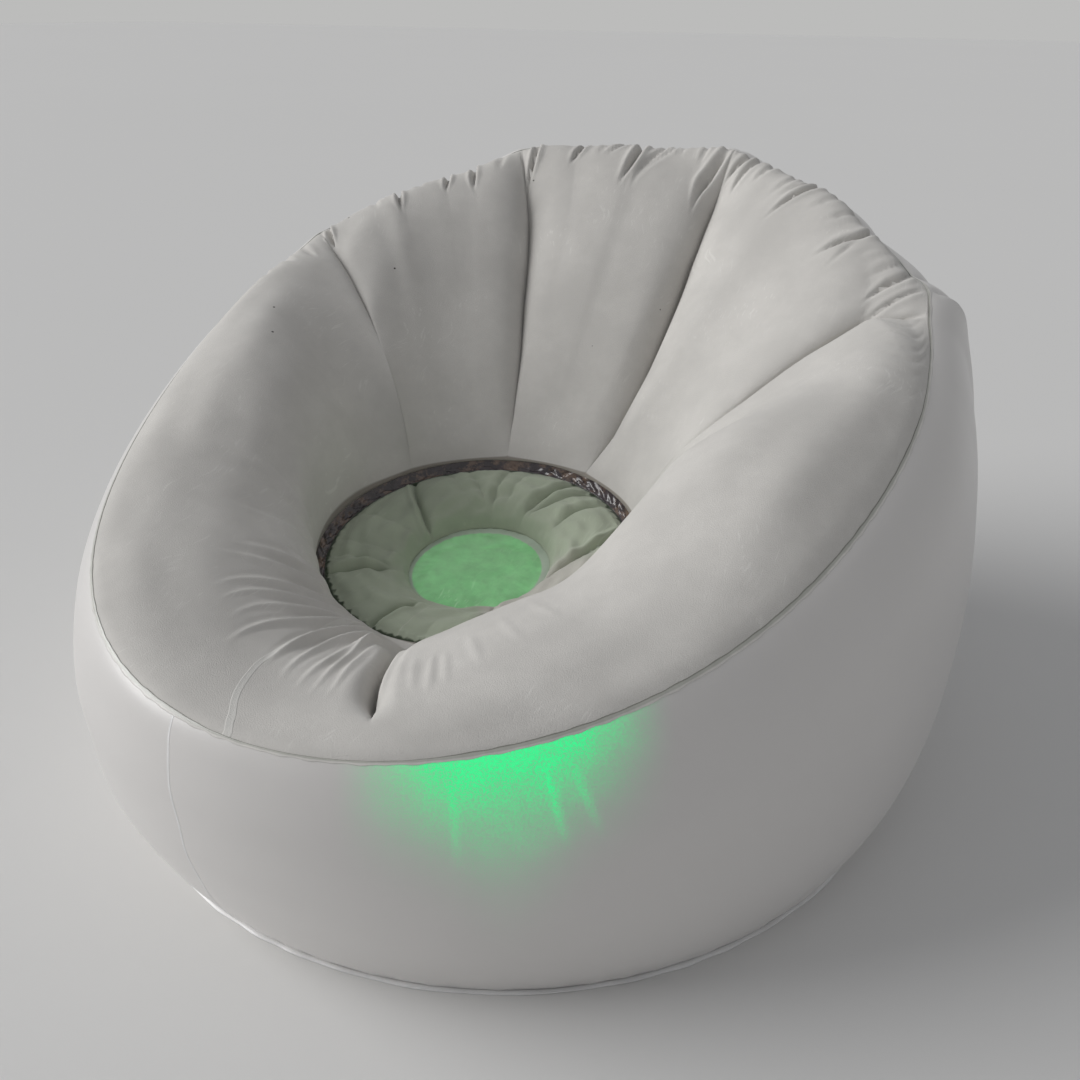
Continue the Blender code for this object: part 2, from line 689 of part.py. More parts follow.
def make_tube(finish):
    """The clear tube from the base up to the window's edge, with its air holes."""
    edge = WINDOW_RADIUS + FLOCKED_VINYL
    columns = []
    for k in range(SEGMENTS):
        angle = 2 * pi * k / SEGMENTS
        foot = np.array([SEAT_X, SEAT_Y, SIDE_VINYL + GAP]) + TUBE_BASE_RADIUS * around(angle)
        head = seat_point(angle, edge, -WINDOW_DEPTH - 2 * FLOCKED_VINYL - GAP)
        columns.append([foot, (foot + head) / 2, head])
    tube = np.array(columns)
    obj = sheet("centre_tube", tube, grid_normals(tube, True), CLEAR_VINYL, finish["clear"],
                wrap=True)
    centre = Vector((SEAT_X, SEAT_Y, RING_HEIGHT / 2))
    for k, direction in enumerate(((1.0, 0.0, 0.0), (0.0, 1.0, 0.0))):
        build = bmesh.new()
        turn = Vector((0.0, 0.0, 1.0)).rotation_difference(Vector(direction)).to_matrix().to_4x4()
        bmesh.ops.create_cone(build, cap_ends=True, segments=SMALL_SEGMENTS,
                              radius1=TUBE_HOLE_RADIUS, radius2=TUBE_HOLE_RADIUS,
                              depth=TUBE_HOLE_REACH, matrix=Matrix.Translation(centre) @ turn)
        mesh = bpy.data.meshes.new(f"tube_hole_cutter_{k}")
        build.to_mesh(mesh)
        build.free()
        cut(obj, add_cutter(mesh.name, mesh))


# Light unit

def housing_top():
    """Height of the housing's upper edge."""
    return UNIT_FOOT + HOUSING_HEIGHT


def make_housing(finish):
    """The cup that holds the cells, with a bay for them and holes in its floor."""
    top = housing_top()
    floor = UNIT_FOOT + UNIT_WALL
    inner = UNIT_RADIUS - UNIT_WALL
    ledge = top - BOARD_THICKNESS - GAP
    obj = turned("light_housing", [
        (0.0, UNIT_FOOT), (UNIT_RADIUS, UNIT_FOOT), (UNIT_RADIUS, top), (inner, top),
        (inner, ledge), (inner - LEDGE_WIDTH, ledge),
        (inner - LEDGE_WIDTH, ledge - LEDGE_THICKNESS), (inner, ledge - LEDGE_THICKNESS),
        (inner, floor), (0.0, floor)], finish["housing"])
    x, y = DOOR_LENGTH / 2 + GAP, DOOR_WIDTH / 2 + GAP
    cut(obj, box("door_cutter", (SEAT_X - x, SEAT_Y - y, 0.0),
                 (SEAT_X + x, SEAT_Y + y, floor + CUT_OVERRUN), None))
    hole = BUTTON_RADIUS + GAP
    cut(obj, turned("button_cutter", [(0.0, 0.0), (hole, 0.0), (hole, floor + CUT_OVERRUN),
                                      (0.0, floor + CUT_OVERRUN)], None,
                    (SEAT_X, SEAT_Y + BUTTON_OFFSET, 0.0), SMALL_SEGMENTS))


def make_lens(finish):
    """The domed diffuser that closes the housing."""
    foot = housing_top() + GAP
    shoulder = foot + LENS_EDGE
    top = foot + LENS_HEIGHT
    inner = UNIT_RADIUS - UNIT_WALL
    rise = top - shoulder
    bends = [k * pi / 2 / LENS_STEPS for k in range(LENS_STEPS)]
    outer_arc = [(UNIT_RADIUS * cos(bend), shoulder + rise * sin(bend)) for bend in bends]
    inner_arc = [(inner * cos(bend), shoulder + (rise - UNIT_WALL) * sin(bend)) for bend in bends]
    turned("light_lens", [(inner, foot), (UNIT_RADIUS, foot)] + outer_arc + [(0.0, top)]
           + [(0.0, top - UNIT_WALL)] + inner_arc[::-1], finish["lens"])


def make_board(finish):
    """The round circuit board, its lights and the switch under it."""
    top = housing_top()
    radius = UNIT_RADIUS - UNIT_WALL - GAP
    turned("light_board", [(0.0, top - BOARD_THICKNESS), (radius, top - BOARD_THICKNESS),
                           (radius, top), (0.0, top)], finish["board"])
    half = LED_SIDE / 2
    for k in range(LED_COUNT):
        angle = 2 * pi * k / LED_COUNT
        x, y = SEAT_X + LED_CIRCLE * cos(angle), SEAT_Y + LED_CIRCLE * sin(angle)
        box(f"light_led_{k + 1}", (x - half, y - half, top + GAP),
            (x + half, y + half, top + GAP + LED_HEIGHT), finish["led"])
    switch_top = top - BOARD_THICKNESS - GAP
    half = SWITCH_SIDE / 2
    y = SEAT_Y + BUTTON_OFFSET
    box("light_switch", (SEAT_X - half, y - half, button_top() + BUTTON_TRAVEL + GAP),
        (SEAT_X + half, y + half, switch_top), finish["dark"])


def button_top():
    """Height of the button's inner flange."""
    return UNIT_FOOT + UNIT_WALL + GAP + BUTTON_FLANGE


def make_button(finish):
    """The push button, held in its hole by an inner flange."""
    inner = UNIT_FOOT + UNIT_WALL + GAP
    low = inner + BUTTON_FLANGE - BUTTON_HEIGHT
    turned("light_button", [
        (0.0, low), (BUTTON_RADIUS, low), (BUTTON_RADIUS, inner),
        (BUTTON_RADIUS + BUTTON_FLANGE, inner), (BUTTON_RADIUS + BUTTON_FLANGE, button_top()),
        (0.0, button_top())], finish["rubber"], (SEAT_X, SEAT_Y + BUTTON_OFFSET, 0.0),
        SMALL_SEGMENTS)


def make_cells(finish):
    """Three dry cells side by side, each turned end for end from the next."""
    level = UNIT_FOOT + UNIT_WALL + GAP + CELL_RADIUS
    length = CELL_LENGTH + CELL_TIP_LENGTH
    profile = [(0.0, 0.0), (CELL_RADIUS, 0.0), (CELL_RADIUS, CELL_LENGTH),
               (CELL_TIP_RADIUS, CELL_LENGTH), (CELL_TIP_RADIUS, length), (0.0, length)]
    for k in range(CELL_COUNT):
        cell = turned(f"battery_{k + 1}", profile, finish["cell"], (0.0, 0.0, 0.0),
                      SMALL_SEGMENTS)
        way = 1 if k % 2 == 0 else -1
        cell.matrix_world = (Matrix.Translation((SEAT_X - way * length / 2,
                                                 SEAT_Y + (k - 1) * CELL_PITCH, level))
                             @ Matrix.Rotation(way * pi / 2, 4, "Y"))
    make_contacts(level, length / 2 + GAP, finish)


def make_contacts(level, reach, finish):
    """Spring-steel plates that join the cells in a row, two at each end."""
    joined = ((-1, "input_contact", 0, 0), (-1, "link_contact_1", 1, 2),
              (1, "link_contact_2", 0, 1), (1, "output_contact", 2, 2))
    wide = CELL_PITCH / 2 - GAP
    for side, name, first, last in joined:
        near, far = sorted((side * reach, side * (reach + CONTACT_THICKNESS)))
        box(name, (SEAT_X + near, SEAT_Y + (first - 1) * CELL_PITCH - wide,
                   level - CONTACT_HEIGHT / 2),
            (SEAT_X + far, SEAT_Y + (last - 1) * CELL_PITCH + wide,
             level + CONTACT_HEIGHT / 2), finish["steel"])


def make_tray(finish):
    """The block that the cells lie in, seated on the housing's floor."""
    low = UNIT_FOOT + UNIT_WALL + GAP
    inner_x = (CELL_LENGTH + CELL_TIP_LENGTH) / 2 + 2 * GAP + CONTACT_THICKNESS
    inner_y = CELL_COUNT * CELL_PITCH / 2 + GAP
    roof = low + 2 * CELL_RADIUS + GAP
    outer_x = DOOR_LENGTH / 2 + TRAY_LEDGE
    outer_y = DOOR_WIDTH / 2 + TRAY_LEDGE
    tray = box("battery_tray", (SEAT_X - outer_x, SEAT_Y - outer_y, low),
               (SEAT_X + outer_x, SEAT_Y + outer_y, roof + TRAY_WALL), finish["housing"])
    cut(tray, box("bay_cutter", (SEAT_X - inner_x, SEAT_Y - inner_y, 0.0),
                  (SEAT_X + inner_x, SEAT_Y + inner_y, roof), None))
    hole = SCREW_RADIUS + GAP
    above = roof + TRAY_WALL + CUT_OVERRUN
    cut(tray, turned("thread_cutter", [(0.0, 0.0), (hole, 0.0), (hole, above), (0.0, above)],
                     None, screw_place(), SMALL_SEGMENTS))


def screw_place():
    """Where the door's screw stands, clear of the cells at one end of the door."""
    return (SEAT_X + DOOR_LENGTH / 2 - SCREW_HEAD_RADIUS, SEAT_Y, 0.0)


def make_door(finish):
    """The battery door and the screw that holds it."""
    x, y = DOOR_LENGTH / 2, DOOR_WIDTH / 2
    door = box("battery_door", (SEAT_X - x, SEAT_Y - y, UNIT_FOOT),
               (SEAT_X + x, SEAT_Y + y, UNIT_FOOT + UNIT_WALL), finish["housing"])
    place = screw_place()
    low = UNIT_FOOT
    head = SCREW_HEAD_RADIUS - 2 * GAP
    recess = low + SCREW_HEAD
    end = low + UNIT_WALL + CUT_OVERRUN
    cut(door, turned("screw_cutter", [
        (0.0, 0.0), (head + GAP, 0.0), (head + GAP, recess), (SCREW_RADIUS + GAP, recess),
        (SCREW_RADIUS + GAP, end), (0.0, end)], None, place, SMALL_SEGMENTS))
    screw = turned("door_screw", [
        (0.0, low), (head, low), (head, recess - GAP), (SCREW_RADIUS, recess - GAP),
        (SCREW_RADIUS, low + SCREW_LENGTH), (0.0, low + SCREW_LENGTH)], finish["steel"], place,
        SMALL_SEGMENTS)
    half = SCREW_SLOT / 2
    cut(screw, box("slot_cutter", (place[0] - head - GAP, place[1] - half, low - SCREW_HEAD),
                   (place[0] + head + GAP, place[1] + half, low + SCREW_HEAD / 2), None))


# Valve

def valve_frame():
    """Where the valve's axis meets the wall, and the matrix that places it there."""
    points = wall_column(VALVE_ANGLE)[0]
    level = int(np.argmin(np.abs(points[:, 2] - VALVE_HEIGHT)))
    low = level if points[level][2] < VALVE_HEIGHT else level - 1
    share = (VALVE_HEIGHT - points[low][2]) / (points[low + 1][2] - points[low][2])
    spot = points[low] + share * (points[low + 1] - points[low])
    rise = Vector(points[low + 1] - points[low]).normalized()
    sideways = Vector(np.cross(around(VALVE_ANGLE), (0.0, 0.0, 1.0))).normalized()
    outward = rise.cross(sideways)
    if outward.dot(Vector(around(VALVE_ANGLE))) < 0.0:
        outward = -outward
        sideways = -sideways
    turn = Matrix((outward.cross(rise), outward, rise)).transposed().to_4x4()
    return Matrix.Translation(Vector(spot)) @ turn


def valve_turned(name, profile, mat, frame, segments=SEGMENTS):
    """A piece turned about the valve's axis; heights run outwards from the wall."""
    obj = turned(name, profile, mat, (0.0, 0.0, 0.0), segments)
    obj.matrix_world = frame @ Matrix.Rotation(-pi / 2, 4, "X")
    return obj


def add_tongue(obj, low, high):
    """Join a flat tongue to a turned valve piece, out to the strap's fold line."""
    build = bmesh.new()
    half = TONGUE_WIDTH / 2
    add_box(build, (-half, VALVE_NECK_RADIUS + 2 * GAP, low), (half, TONGUE_REACH, high))
    mesh = bpy.data.meshes.new(f"{obj.name}_tongue")
    build.to_mesh(mesh)
    build.free()
    tongue = add_cutter(mesh.name, mesh)
    tongue.matrix_world = obj.matrix_world
    mod = obj.modifiers.new(tongue.name, "BOOLEAN")
    mod.operation = "UNION"
    mod.solver = "EXACT"
    mod.object = tongue


def make_valve(finish):
    """Valve body through the wall, its cap on a hinge, and the flap inside."""
    frame = valve_frame()
    wall = bpy.data.objects["side_wall"]
    hole = VALVE_NECK_RADIUS + GAP
    cut(wall, valve_turned("valve_cutter", [
        (0.0, -VALVE_DEPTH), (hole, -VALVE_DEPTH), (hole, VALVE_DEPTH), (0.0, VALVE_DEPTH)],
        None, frame))
    back = -VALVE_SET_IN
    valve_turned("valve_body", [
        (VALVE_BORE, -VALVE_DEPTH), (VALVE_NECK_RADIUS, -VALVE_DEPTH),
        (VALVE_NECK_RADIUS, back - VALVE_FLANGE), (VALVE_FLANGE_RADIUS, back - VALVE_FLANGE),
        (VALVE_FLANGE_RADIUS, back), (VALVE_NECK_RADIUS, back), (VALVE_NECK_RADIUS, VALVE_PROUD),
        (VALVE_BORE, VALVE_PROUD)], finish["valve"], frame)
    cap_low = VALVE_PROUD + GAP
    cap_top = cap_low + VALVE_CAP_THICKNESS
    plug_end = cap_low - VALVE_PLUG_LENGTH
    plug_wall = VALVE_PLUG_RADIUS - VALVE_CAP_THICKNESS
    cap = valve_turned("valve_cap", [
        (0.0, cap_top), (0.0, cap_low), (plug_wall, cap_low), (plug_wall, plug_end),
        (VALVE_PLUG_RADIUS, plug_end), (VALVE_PLUG_RADIUS, cap_low), (VALVE_CAP_RADIUS, cap_low),
        (VALVE_CAP_RADIUS, cap_top)], finish["valve"], frame)
    add_tongue(cap, cap_low, cap_low + STRAP_THICKNESS)
    strap_inner = VALVE_NECK_RADIUS + GAP
    strap_low = STRAP_LIFT - STRAP_THICKNESS
    strap = valve_turned("valve_strap", [
        (strap_inner, strap_low), (STRAP_RADIUS, strap_low), (STRAP_RADIUS, STRAP_LIFT),
        (strap_inner, STRAP_LIFT)], finish["valve"], frame)
    add_tongue(strap, strap_low, VALVE_PROUD - GAP)
    flap_top = -VALVE_DEPTH - GAP
    valve_turned("valve_flap", [
        (0.0, flap_top - FLAP_THICKNESS), (FLAP_RADIUS, flap_top - FLAP_THICKNESS),
        (FLAP_RADIUS, flap_top), (0.0, flap_top)], finish["rubber"], frame)
    axis_frame = frame @ Matrix.Rotation(-pi / 2, 4, "X")
    carry("cap_hinge", axis_frame @ Matrix.Translation((0.0, TONGUE_REACH, VALVE_PROUD)),
          ["valve_cap"])
    carry("flap_hinge", axis_frame @ Matrix.Translation((0.0, -FLAP_RADIUS, flap_top)),
          ["valve_flap"])


def main():
    clear_scene()
    finish = {
        "frosted": material("frosted_vinyl", (0.80, 0.80, 0.78), 0.35, alpha=0.85),
        "weld": material("welded_vinyl", (0.72, 0.73, 0.70), 0.4, alpha=0.9),
        "flocked": material("flocked_vinyl", (0.38, 0.37, 0.35), 0.95),
        "seat": material("flocked_seat_vinyl", (0.30, 0.34, 0.28), 0.95),
        "window": material("lit_window_vinyl", (0.20, 0.60, 0.27), 0.8, emission=(0.05, 0.30, 0.08)),
        "clear": material("clear_vinyl", (0.75, 0.76, 0.76), 0.08, alpha=0.35),
        "baffle": material("baffle_vinyl", (0.75, 0.75, 0.73), 0.4, alpha=0.8),
        "collar": material("collar_plastic", (0.55, 0.55, 0.55), 0.45),
        "housing": material("housing_plastic", (0.80, 0.80, 0.80), 0.4),
        "lens": material("diffuser_plastic", (0.85, 0.90, 0.85), 0.3, alpha=0.8),
        "board": material("board_laminate", (0.05, 0.25, 0.10), 0.5),
        "led": material("led_resin", (0.10, 0.90, 0.30), 0.2, emission=(0.10, 1.00, 0.30)),
        "cell": material("cell_jacket", (0.10, 0.10, 0.12), 0.35),
        "steel": material("steel", (0.60, 0.60, 0.60), 0.3, metallic=1.0),
        "rubber": material("soft_rubber", (0.15, 0.15, 0.15), 0.7),
        "dark": material("switch_plastic", (0.05, 0.05, 0.05), 0.5),
        "valve": material("valve_plastic", (0.78, 0.78, 0.76), 0.4),
    }
    seat_angles, whole, normals = make_shell(finish)
    make_seat(seat_angles, finish)
    make_base(finish)
    make_tube(finish)
    for name, (angle, _) in CREASES.items():
        column = int(np.argmin([abs(turn_between(angle, c)) for c in seat_angles]))
        outline = baffle_outline(column, seat_angles[column], whole, normals)
        make_baffle(f"baffle_{name}", seat_angles[column], outline, finish)
    make_pocket(finish)
    make_housing(finish)
    make_lens(finish)
    make_board(finish)
    make_button(finish)
    make_cells(finish)
    make_tray(finish)
    make_door(finish)
    unit = Matrix.Translation((SEAT_X, SEAT_Y, 0.0))
    carry("light_unit", unit, [
        "light_housing", "light_lens", "light_board", "light_switch", "battery_tray",
        *(f"light_led_{k + 1}" for k in range(LED_COUNT)),
        *(f"battery_{k + 1}" for k in range(CELL_COUNT)),
        "input_contact", "link_contact_1", "link_contact_2", "output_contact"])
    carry("door_slide", unit, ["battery_door", "door_screw"])
    make_valve(finish)


main()
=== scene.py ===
# %% [markdown]
# # Inflatable bowl chair with a light under its seat
#
# The chair is a set of thin sheets welded together and blown up: a frosted outer wall, a flocked
# bucket drawn in by welded creases, a flocked seat with a glowing window, and bands of clear and
# welded vinyl between them. The solids of the chair come in first. Everything made here sits
# exactly where they are, so no piece has to be fitted by hand.

import bpy
import numpy as np
from mathutils import Matrix


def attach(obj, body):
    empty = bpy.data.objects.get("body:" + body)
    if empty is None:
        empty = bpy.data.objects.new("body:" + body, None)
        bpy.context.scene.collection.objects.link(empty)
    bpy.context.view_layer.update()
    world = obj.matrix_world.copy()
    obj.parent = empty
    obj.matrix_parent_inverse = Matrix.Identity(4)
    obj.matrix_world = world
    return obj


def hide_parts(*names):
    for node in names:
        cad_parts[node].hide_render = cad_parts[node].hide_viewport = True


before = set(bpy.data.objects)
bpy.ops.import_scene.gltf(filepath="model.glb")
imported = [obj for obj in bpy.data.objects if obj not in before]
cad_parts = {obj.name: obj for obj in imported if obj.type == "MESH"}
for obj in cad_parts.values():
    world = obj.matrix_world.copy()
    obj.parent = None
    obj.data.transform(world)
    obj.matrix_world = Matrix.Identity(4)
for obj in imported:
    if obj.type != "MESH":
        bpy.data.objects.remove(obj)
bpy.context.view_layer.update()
scene = bpy.context.scene
print("solids that came in:", len(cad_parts))

# %% [markdown]
# ## Numbers the sheets share
#
# A blown-up sheet has no straight edge to measure from, so its shape is given by a few lines: the
# base circle, the rim, the ring round the seat. They are the numbers that the solids were made
# from. Every sheet is a function of an angle round the chair and a share of the way along the
# sheet, which numpy works out for the whole grid at once.

# %% The base, the rim and the seat, in metres
BASE_RADIUS = 0.5185
RIM_RADIUS, RIM_SHIFT, RIM_LENGTHENING, RIM_SQUARING = 0.5181, 0.0038, 0.0342, 0.0109
RIM_HEIGHT, RIM_SLOPE, RIM_SADDLE = 0.4903, 0.1882, 0.0091
SEAT_X, SEAT_Y, SEAT_TILT = -0.018, -0.068, np.radians(8.0)
RING_HEIGHT, RING_RADIUS, RING_WIDTH, RING_DROP = 0.2785, 0.2088, 0.0105, 0.011
WELD_THICKNESS = 0.0012
BUCKET_SHEET, WALL_SHEET, SEAT_SHEET, THIN_SHEET = 0.0022, 0.0015, 0.0018, 0.0005
MILLIMETRE = 0.001
UP = np.array([0.0, 0.0, 1.0])
TAU = 2 * np.pi


def wrap(angle):
    """The same angle between half a turn back and half a turn on."""
    return (angle + np.pi) % TAU - np.pi


def ease(x, low, high):
    """0 below low, 1 above high, and a smooth S between: three squares less two cubes."""
    share = np.clip((x - low) / (high - low), 0.0, 1.0)
    return share * share * (3 - 2 * share)


def span(x, start, full, still, end):
    """0 outside start and end, 1 from full to still, and eased between them."""
    return ease(x, start, full) * (1 - ease(x, still, end))


def peak(x, power=2.0):
    """1 at 0 and less both ways: e to the minus |x| to a power. The power 2 gives a bell."""
    return np.exp(-np.abs(x) ** power)


def bezier(p0, p1, p2, p3, t):
    """Cubic curve: the four points weighted by (1-t)^3, 3t(1-t)^2, 3t^2(1-t) and t^3."""
    s = 1 - t
    return s ** 3 * p0 + 3 * s * s * t * p1 + 3 * s * t * t * p2 + t ** 3 * p3


def unit(vectors):
    """The same vectors, each with length 1."""
    return vectors / np.linalg.norm(vectors, axis=-1, keepdims=True)


def around(angle):
    """Unit vector along the floor: (sin, -cos, 0) of the angle from the chair's front."""
    return np.stack([np.sin(angle), -np.cos(angle), np.zeros_like(angle)], -1)


# The back of the rim is gathered at these angles, in degrees, and swells a little between them.
NOTCHES = np.array([121.25, 125.75, 139.75, 154.25, 168.75, 184.75, 195.0, 204.5, 213.75,
                    219.25, 228.0, 242.75])
SWELLING_PER_DEGREE, WIDEST_SWELLING = 0.00022, 14.0
SWELLING_OUT, SWELLING_UP = 0.7, 0.45
# The creases pull the rim out of its smooth line: degrees, millimetres out, millimetres up.
RIM_PULLS = np.array([
    (96, 0, 0), (104, -2.5, -1.6), (110, -2.1, -1.4), (115, -1.4, -.9), (118.5, 3.5, 2.3),
    (121, 7, 4.5), (123, 4, 2.5), (125.5, -3, -2), (128, -5.6, -3.6), (131, -7.7, -5),
    (134.5, -10, -6.5), (137.5, -11.9, -7.6), (140, -10, -6.4), (143, -7, -4.5),
    (146, -4.5, -2.9), (149, -3.5, -2.2), (152.3, -3.5, -2.5), (155, 0, -1), (158, 0, -3),
    (161, 0, 3), (164, 0, 6), (166.5, 0, 14), (168.75, 0, 22), (171, 0, 17), (173.5, 0, 11),
    (176.5, 0, 4), (182, 0, -2), (185, 0, 2), (194, 0, 5), (196, 0, 10), (198, 0, 15),
    (200, 0, 18), (203, 0, 23), (206, 0, 24), (209, 0, 16), (212, 0, 7), (215, 0, -1),
    (218, 0, -3), (221, 0, -1), (224, 0, -2), (227, 0, -1), (230, 0, 5), (233, 0, 1), (236, 0, 4),
    (239, 0, 6), (242, 0, 10), (244, 0, 13), (247, 0, 7), (250, 0, 4), (255, 0, 2), (260, 0, 0)])
PULL_SPREAD = 4.0


def scallop(angle):
    """Swelling between two gathers: 1 - |2x - 1|^2.4 of the share x of the way between them,
    in proportion to the turn from one to the other."""
    degrees = np.degrees(angle) % 360
    upper = np.clip(np.searchsorted(NOTCHES, degrees), 1, len(NOTCHES) - 1)
    low, width = NOTCHES[upper - 1], NOTCHES[upper] - NOTCHES[upper - 1]
    x = np.clip((degrees - low) / width, 0.0, 1.0)
    size = SWELLING_PER_DEGREE * np.minimum(width, WIDEST_SWELLING)
    return size * (1 - np.abs(2 * x - 1) ** 2.4)


def eased_table(places, values, spread, count=3601):
    """A table's values on a fine scale from 0 to 360 degrees, averaged over a spread of degrees
    so that it has no corners."""
    fine = np.linspace(0, 360, count)
    window = np.hanning(int(spread * count / 360) | 1)
    straight = np.pad(np.interp(fine, places, values), len(window) // 2, mode="edge")
    return fine, np.convolve(straight, window / window.sum(), "valid")


pull_degrees, pull_out, pull_up = RIM_PULLS.T
PULL_PLACES, PULL_OUT = eased_table(pull_degrees, pull_out * MILLIMETRE, PULL_SPREAD)
PULL_UP = eased_table(pull_degrees, pull_up * MILLIMETRE, PULL_SPREAD)[1]


def rim_line(angle):
    """The rim: a circle with a cosine, a double and a triple cosine added, which also slopes,
    with the pulls of the creases, and the swellings between its gathers, outwards and up."""
    swelling, degrees = scallop(angle), np.degrees(angle) % 360
    radius = (RIM_RADIUS - RIM_SHIFT * np.cos(angle) + RIM_LENGTHENING * np.cos(2 * angle)
              + RIM_SQUARING * np.cos(3 * angle) + SWELLING_OUT * swelling
              + np.interp(degrees, PULL_PLACES, PULL_OUT))
    height = (RIM_HEIGHT - RIM_SLOPE * np.cos(angle) + RIM_SADDLE * np.cos(2 * angle)
              + SWELLING_UP * swelling + np.interp(degrees, PULL_PLACES, PULL_UP))
    return radius[..., None] * around(angle) + height[..., None] * UP


def seat_point(angle, radius, lift):
    """A point of the tilted seat, from its angle, its radius and its height over the ring."""
    back = -radius * np.cos(angle)
    return np.stack([SEAT_X + radius * np.sin(angle),
                     SEAT_Y + back * np.cos(SEAT_TILT) - lift * np.sin(SEAT_TILT),
                     RING_HEIGHT + back * np.sin(SEAT_TILT) + lift * np.cos(SEAT_TILT)], -1)


TURN = np.linspace(-np.pi, np.pi, 8192, endpoint=False)
rim_x, rim_y, _ = rim_line(TURN).T
SEEN = np.unwrap(np.arctan2(rim_x - SEAT_X, SEAT_Y - rim_y))


def rim_angle(seat_angle):
    """Angle about the base of the rim point that lies at an angle about the seat."""
    return seat_angle + np.interp(seat_angle, SEEN, TURN - SEEN, period=TAU)


def seen_angle(base_degrees):
    """The other way round, in degrees: the angle about the seat of a point of the rim."""
    base = np.radians(base_degrees)
    return np.degrees(base + np.interp(base, TURN, SEEN - TURN, period=TAU)) % 360


print("rim height, front and back:", rim_line(np.array([0.0, np.pi]))[:, 2].round(4))

# %% [markdown]
# ## A closed skin from one grid
#
# Sheets that run right round the chair, with a front face, a back face and two edges, are all the
# same thing to a mesh: a grid that closes on itself both ways, like a tyre. So one function
# makes every one of them. The back has fewer rows than the front, because nobody sees it.

# %% Grid to mesh


def mesh_object(name, points, quads, uv=None, corners=()):
    """A mesh object at the origin from points and faces, with an optional map for patterns. The
    volume that the quads enclose says which way they face, and all turn round if it is negative."""
    points = points.reshape(-1, 3)
    first, second, third, fourth = (points[quads[:, k]] for k in range(4))
    volume = np.einsum("ij,ij->", first, np.cross(second, third) + np.cross(third, fourth))
    faces = quads.tolist() + [list(c) for c in corners]
    if volume < 0:
        faces = [face[::-1] for face in faces]
    mesh = bpy.data.meshes.new(name)
    mesh.from_pydata(points.tolist(), [], faces)
    if uv is not None:
        index = np.empty(len(mesh.loops), np.int32)
        mesh.loops.foreach_get("vertex_index", index)
        layer = mesh.uv_layers.new(name="sheet")
        layer.data.foreach_set("uv", uv.reshape(-1, 2)[index].astype(np.float32).ravel())
    mesh.shade_smooth()
    obj = bpy.data.objects.new(name, mesh)
    scene.collection.objects.link(obj)
    return obj


def grid_faces(columns, rows, round_closes=True, up_closes=True):
    """Quads of a grid, which may close on itself round and up. Row before column turns them out."""
    index = np.arange(columns * rows).reshape(columns, rows)
    on, up = np.roll(index, -1, 0), np.roll(index, -1, 1)
    quads = np.stack([index, up, np.roll(on, -1, 1), on], -1)
    return quads[:columns - (not round_closes), :rows - (not up_closes)].reshape(-1, 4)


def capped(name, grid, *poles):
    """A closed body from rings of points, with a point that closes each end."""
    columns, rows = grid.shape[:2]
    index = np.arange(columns * rows).reshape(columns, rows)
    on = np.roll(index, -1, 0)
    first = np.full(columns, columns * rows)
    fans = np.concatenate([np.stack([first, index[:, 0], on[:, 0]], -1),
                           np.stack([first + 1, on[:, -1], index[:, -1]], -1)]).tolist()
    points = np.concatenate([grid.reshape(-1, 3), poles])
    return mesh_object(name, points, grid_faces(columns, rows, up_closes=False), None, fans)


def face_normals(grid):
    """Unit normals of a grid closed in its columns: step along a column cross step round."""
    round_step = np.roll(grid, -1, 0) - np.roll(grid, 1, 0)
    return unit(np.cross(np.gradient(grid, axis=1), round_step))


def sheet_uv(angles, across):
    """A sheet's own map: degrees over 100, and a measure across the sheet."""
    return np.stack(np.broadcast_arrays(np.degrees(angles)[:, None] / 100, across), -1)


def skin(name, grid, thickness, uv=None, every=4):
    """Front rows of a grid, then every few rows of the same grid moved back by the thickness."""
    normal, rows = face_normals(grid), grid.shape[1]
    chosen = np.unique(np.append(np.arange(0, rows, every), rows - 1))[::-1]
    whole = np.concatenate([grid, grid[:, chosen] - thickness * normal[:, chosen]], 1)
    if uv is not None:
        uv = np.concatenate([uv, uv[:, chosen]], 1)
    print(name, "triangles:", 2 * whole.shape[0] * whole.shape[1])
    return mesh_object(name, whole, grid_faces(*whole.shape[:2]), uv)


def even_angles(count, places=(), spread=4.0, gain=0.0):
    """Angles round a full turn, closer together near some places: the turn is shared out by the
    running sum of 1 plus a bell curve at each place."""
    fine = np.linspace(0.0, TAU, 36001)
    weight = np.ones_like(fine)
    for place in places:
        weight += gain * peak(wrap(fine - place) / np.radians(spread))
    total = np.concatenate([[0.0], np.cumsum((weight[1:] + weight[:-1]) / 2)])
    angles = np.interp(np.arange(count) / count * total[-1], total, fine)
    for place in places:
        angles[np.abs(wrap(angles - place)).argmin()] = place % TAU
    return angles


def crowded_rows(count, crowding):
    """Shares from 0 to 1, closer together at both ends: s less a little of its sine."""
    s = np.linspace(0.0, 1.0, count)
    return s - crowding * np.sin(TAU * s)


def ripples(x, y, seed, count=16, most_round=12, most_along=9.0):
    """Gentle unevenness between about -1 and 1: a sum of sine waves that run in random
    directions, whole numbers of times round the chair so that the sheet closes."""
    dice = np.random.default_rng(seed)
    total = np.zeros(np.broadcast(x, y).shape)
    for _ in range(count):
        round_waves = dice.integers(1, most_round) * dice.choice([-1, 1])
        along_waves, phase = dice.uniform(1.0, most_along), dice.uniform(0, TAU)
        total += np.sin(round_waves * x + along_waves * y + phase)
    return total / np.sqrt(count)


# %% [markdown]
# ## The flocked bucket
#
# The bucket is one sheet from the seat ring up to the rim. Its section at any angle is a cubic
# curve whose two middle points say how it leaves the ring and how it rolls over at the top. Five
# welded creases hold it in. At a crease the middle points lie deep, and away from it they swell
# out along a quarter circle, so each lobe meets the next in a sharp valley, as blown-up cloth does.

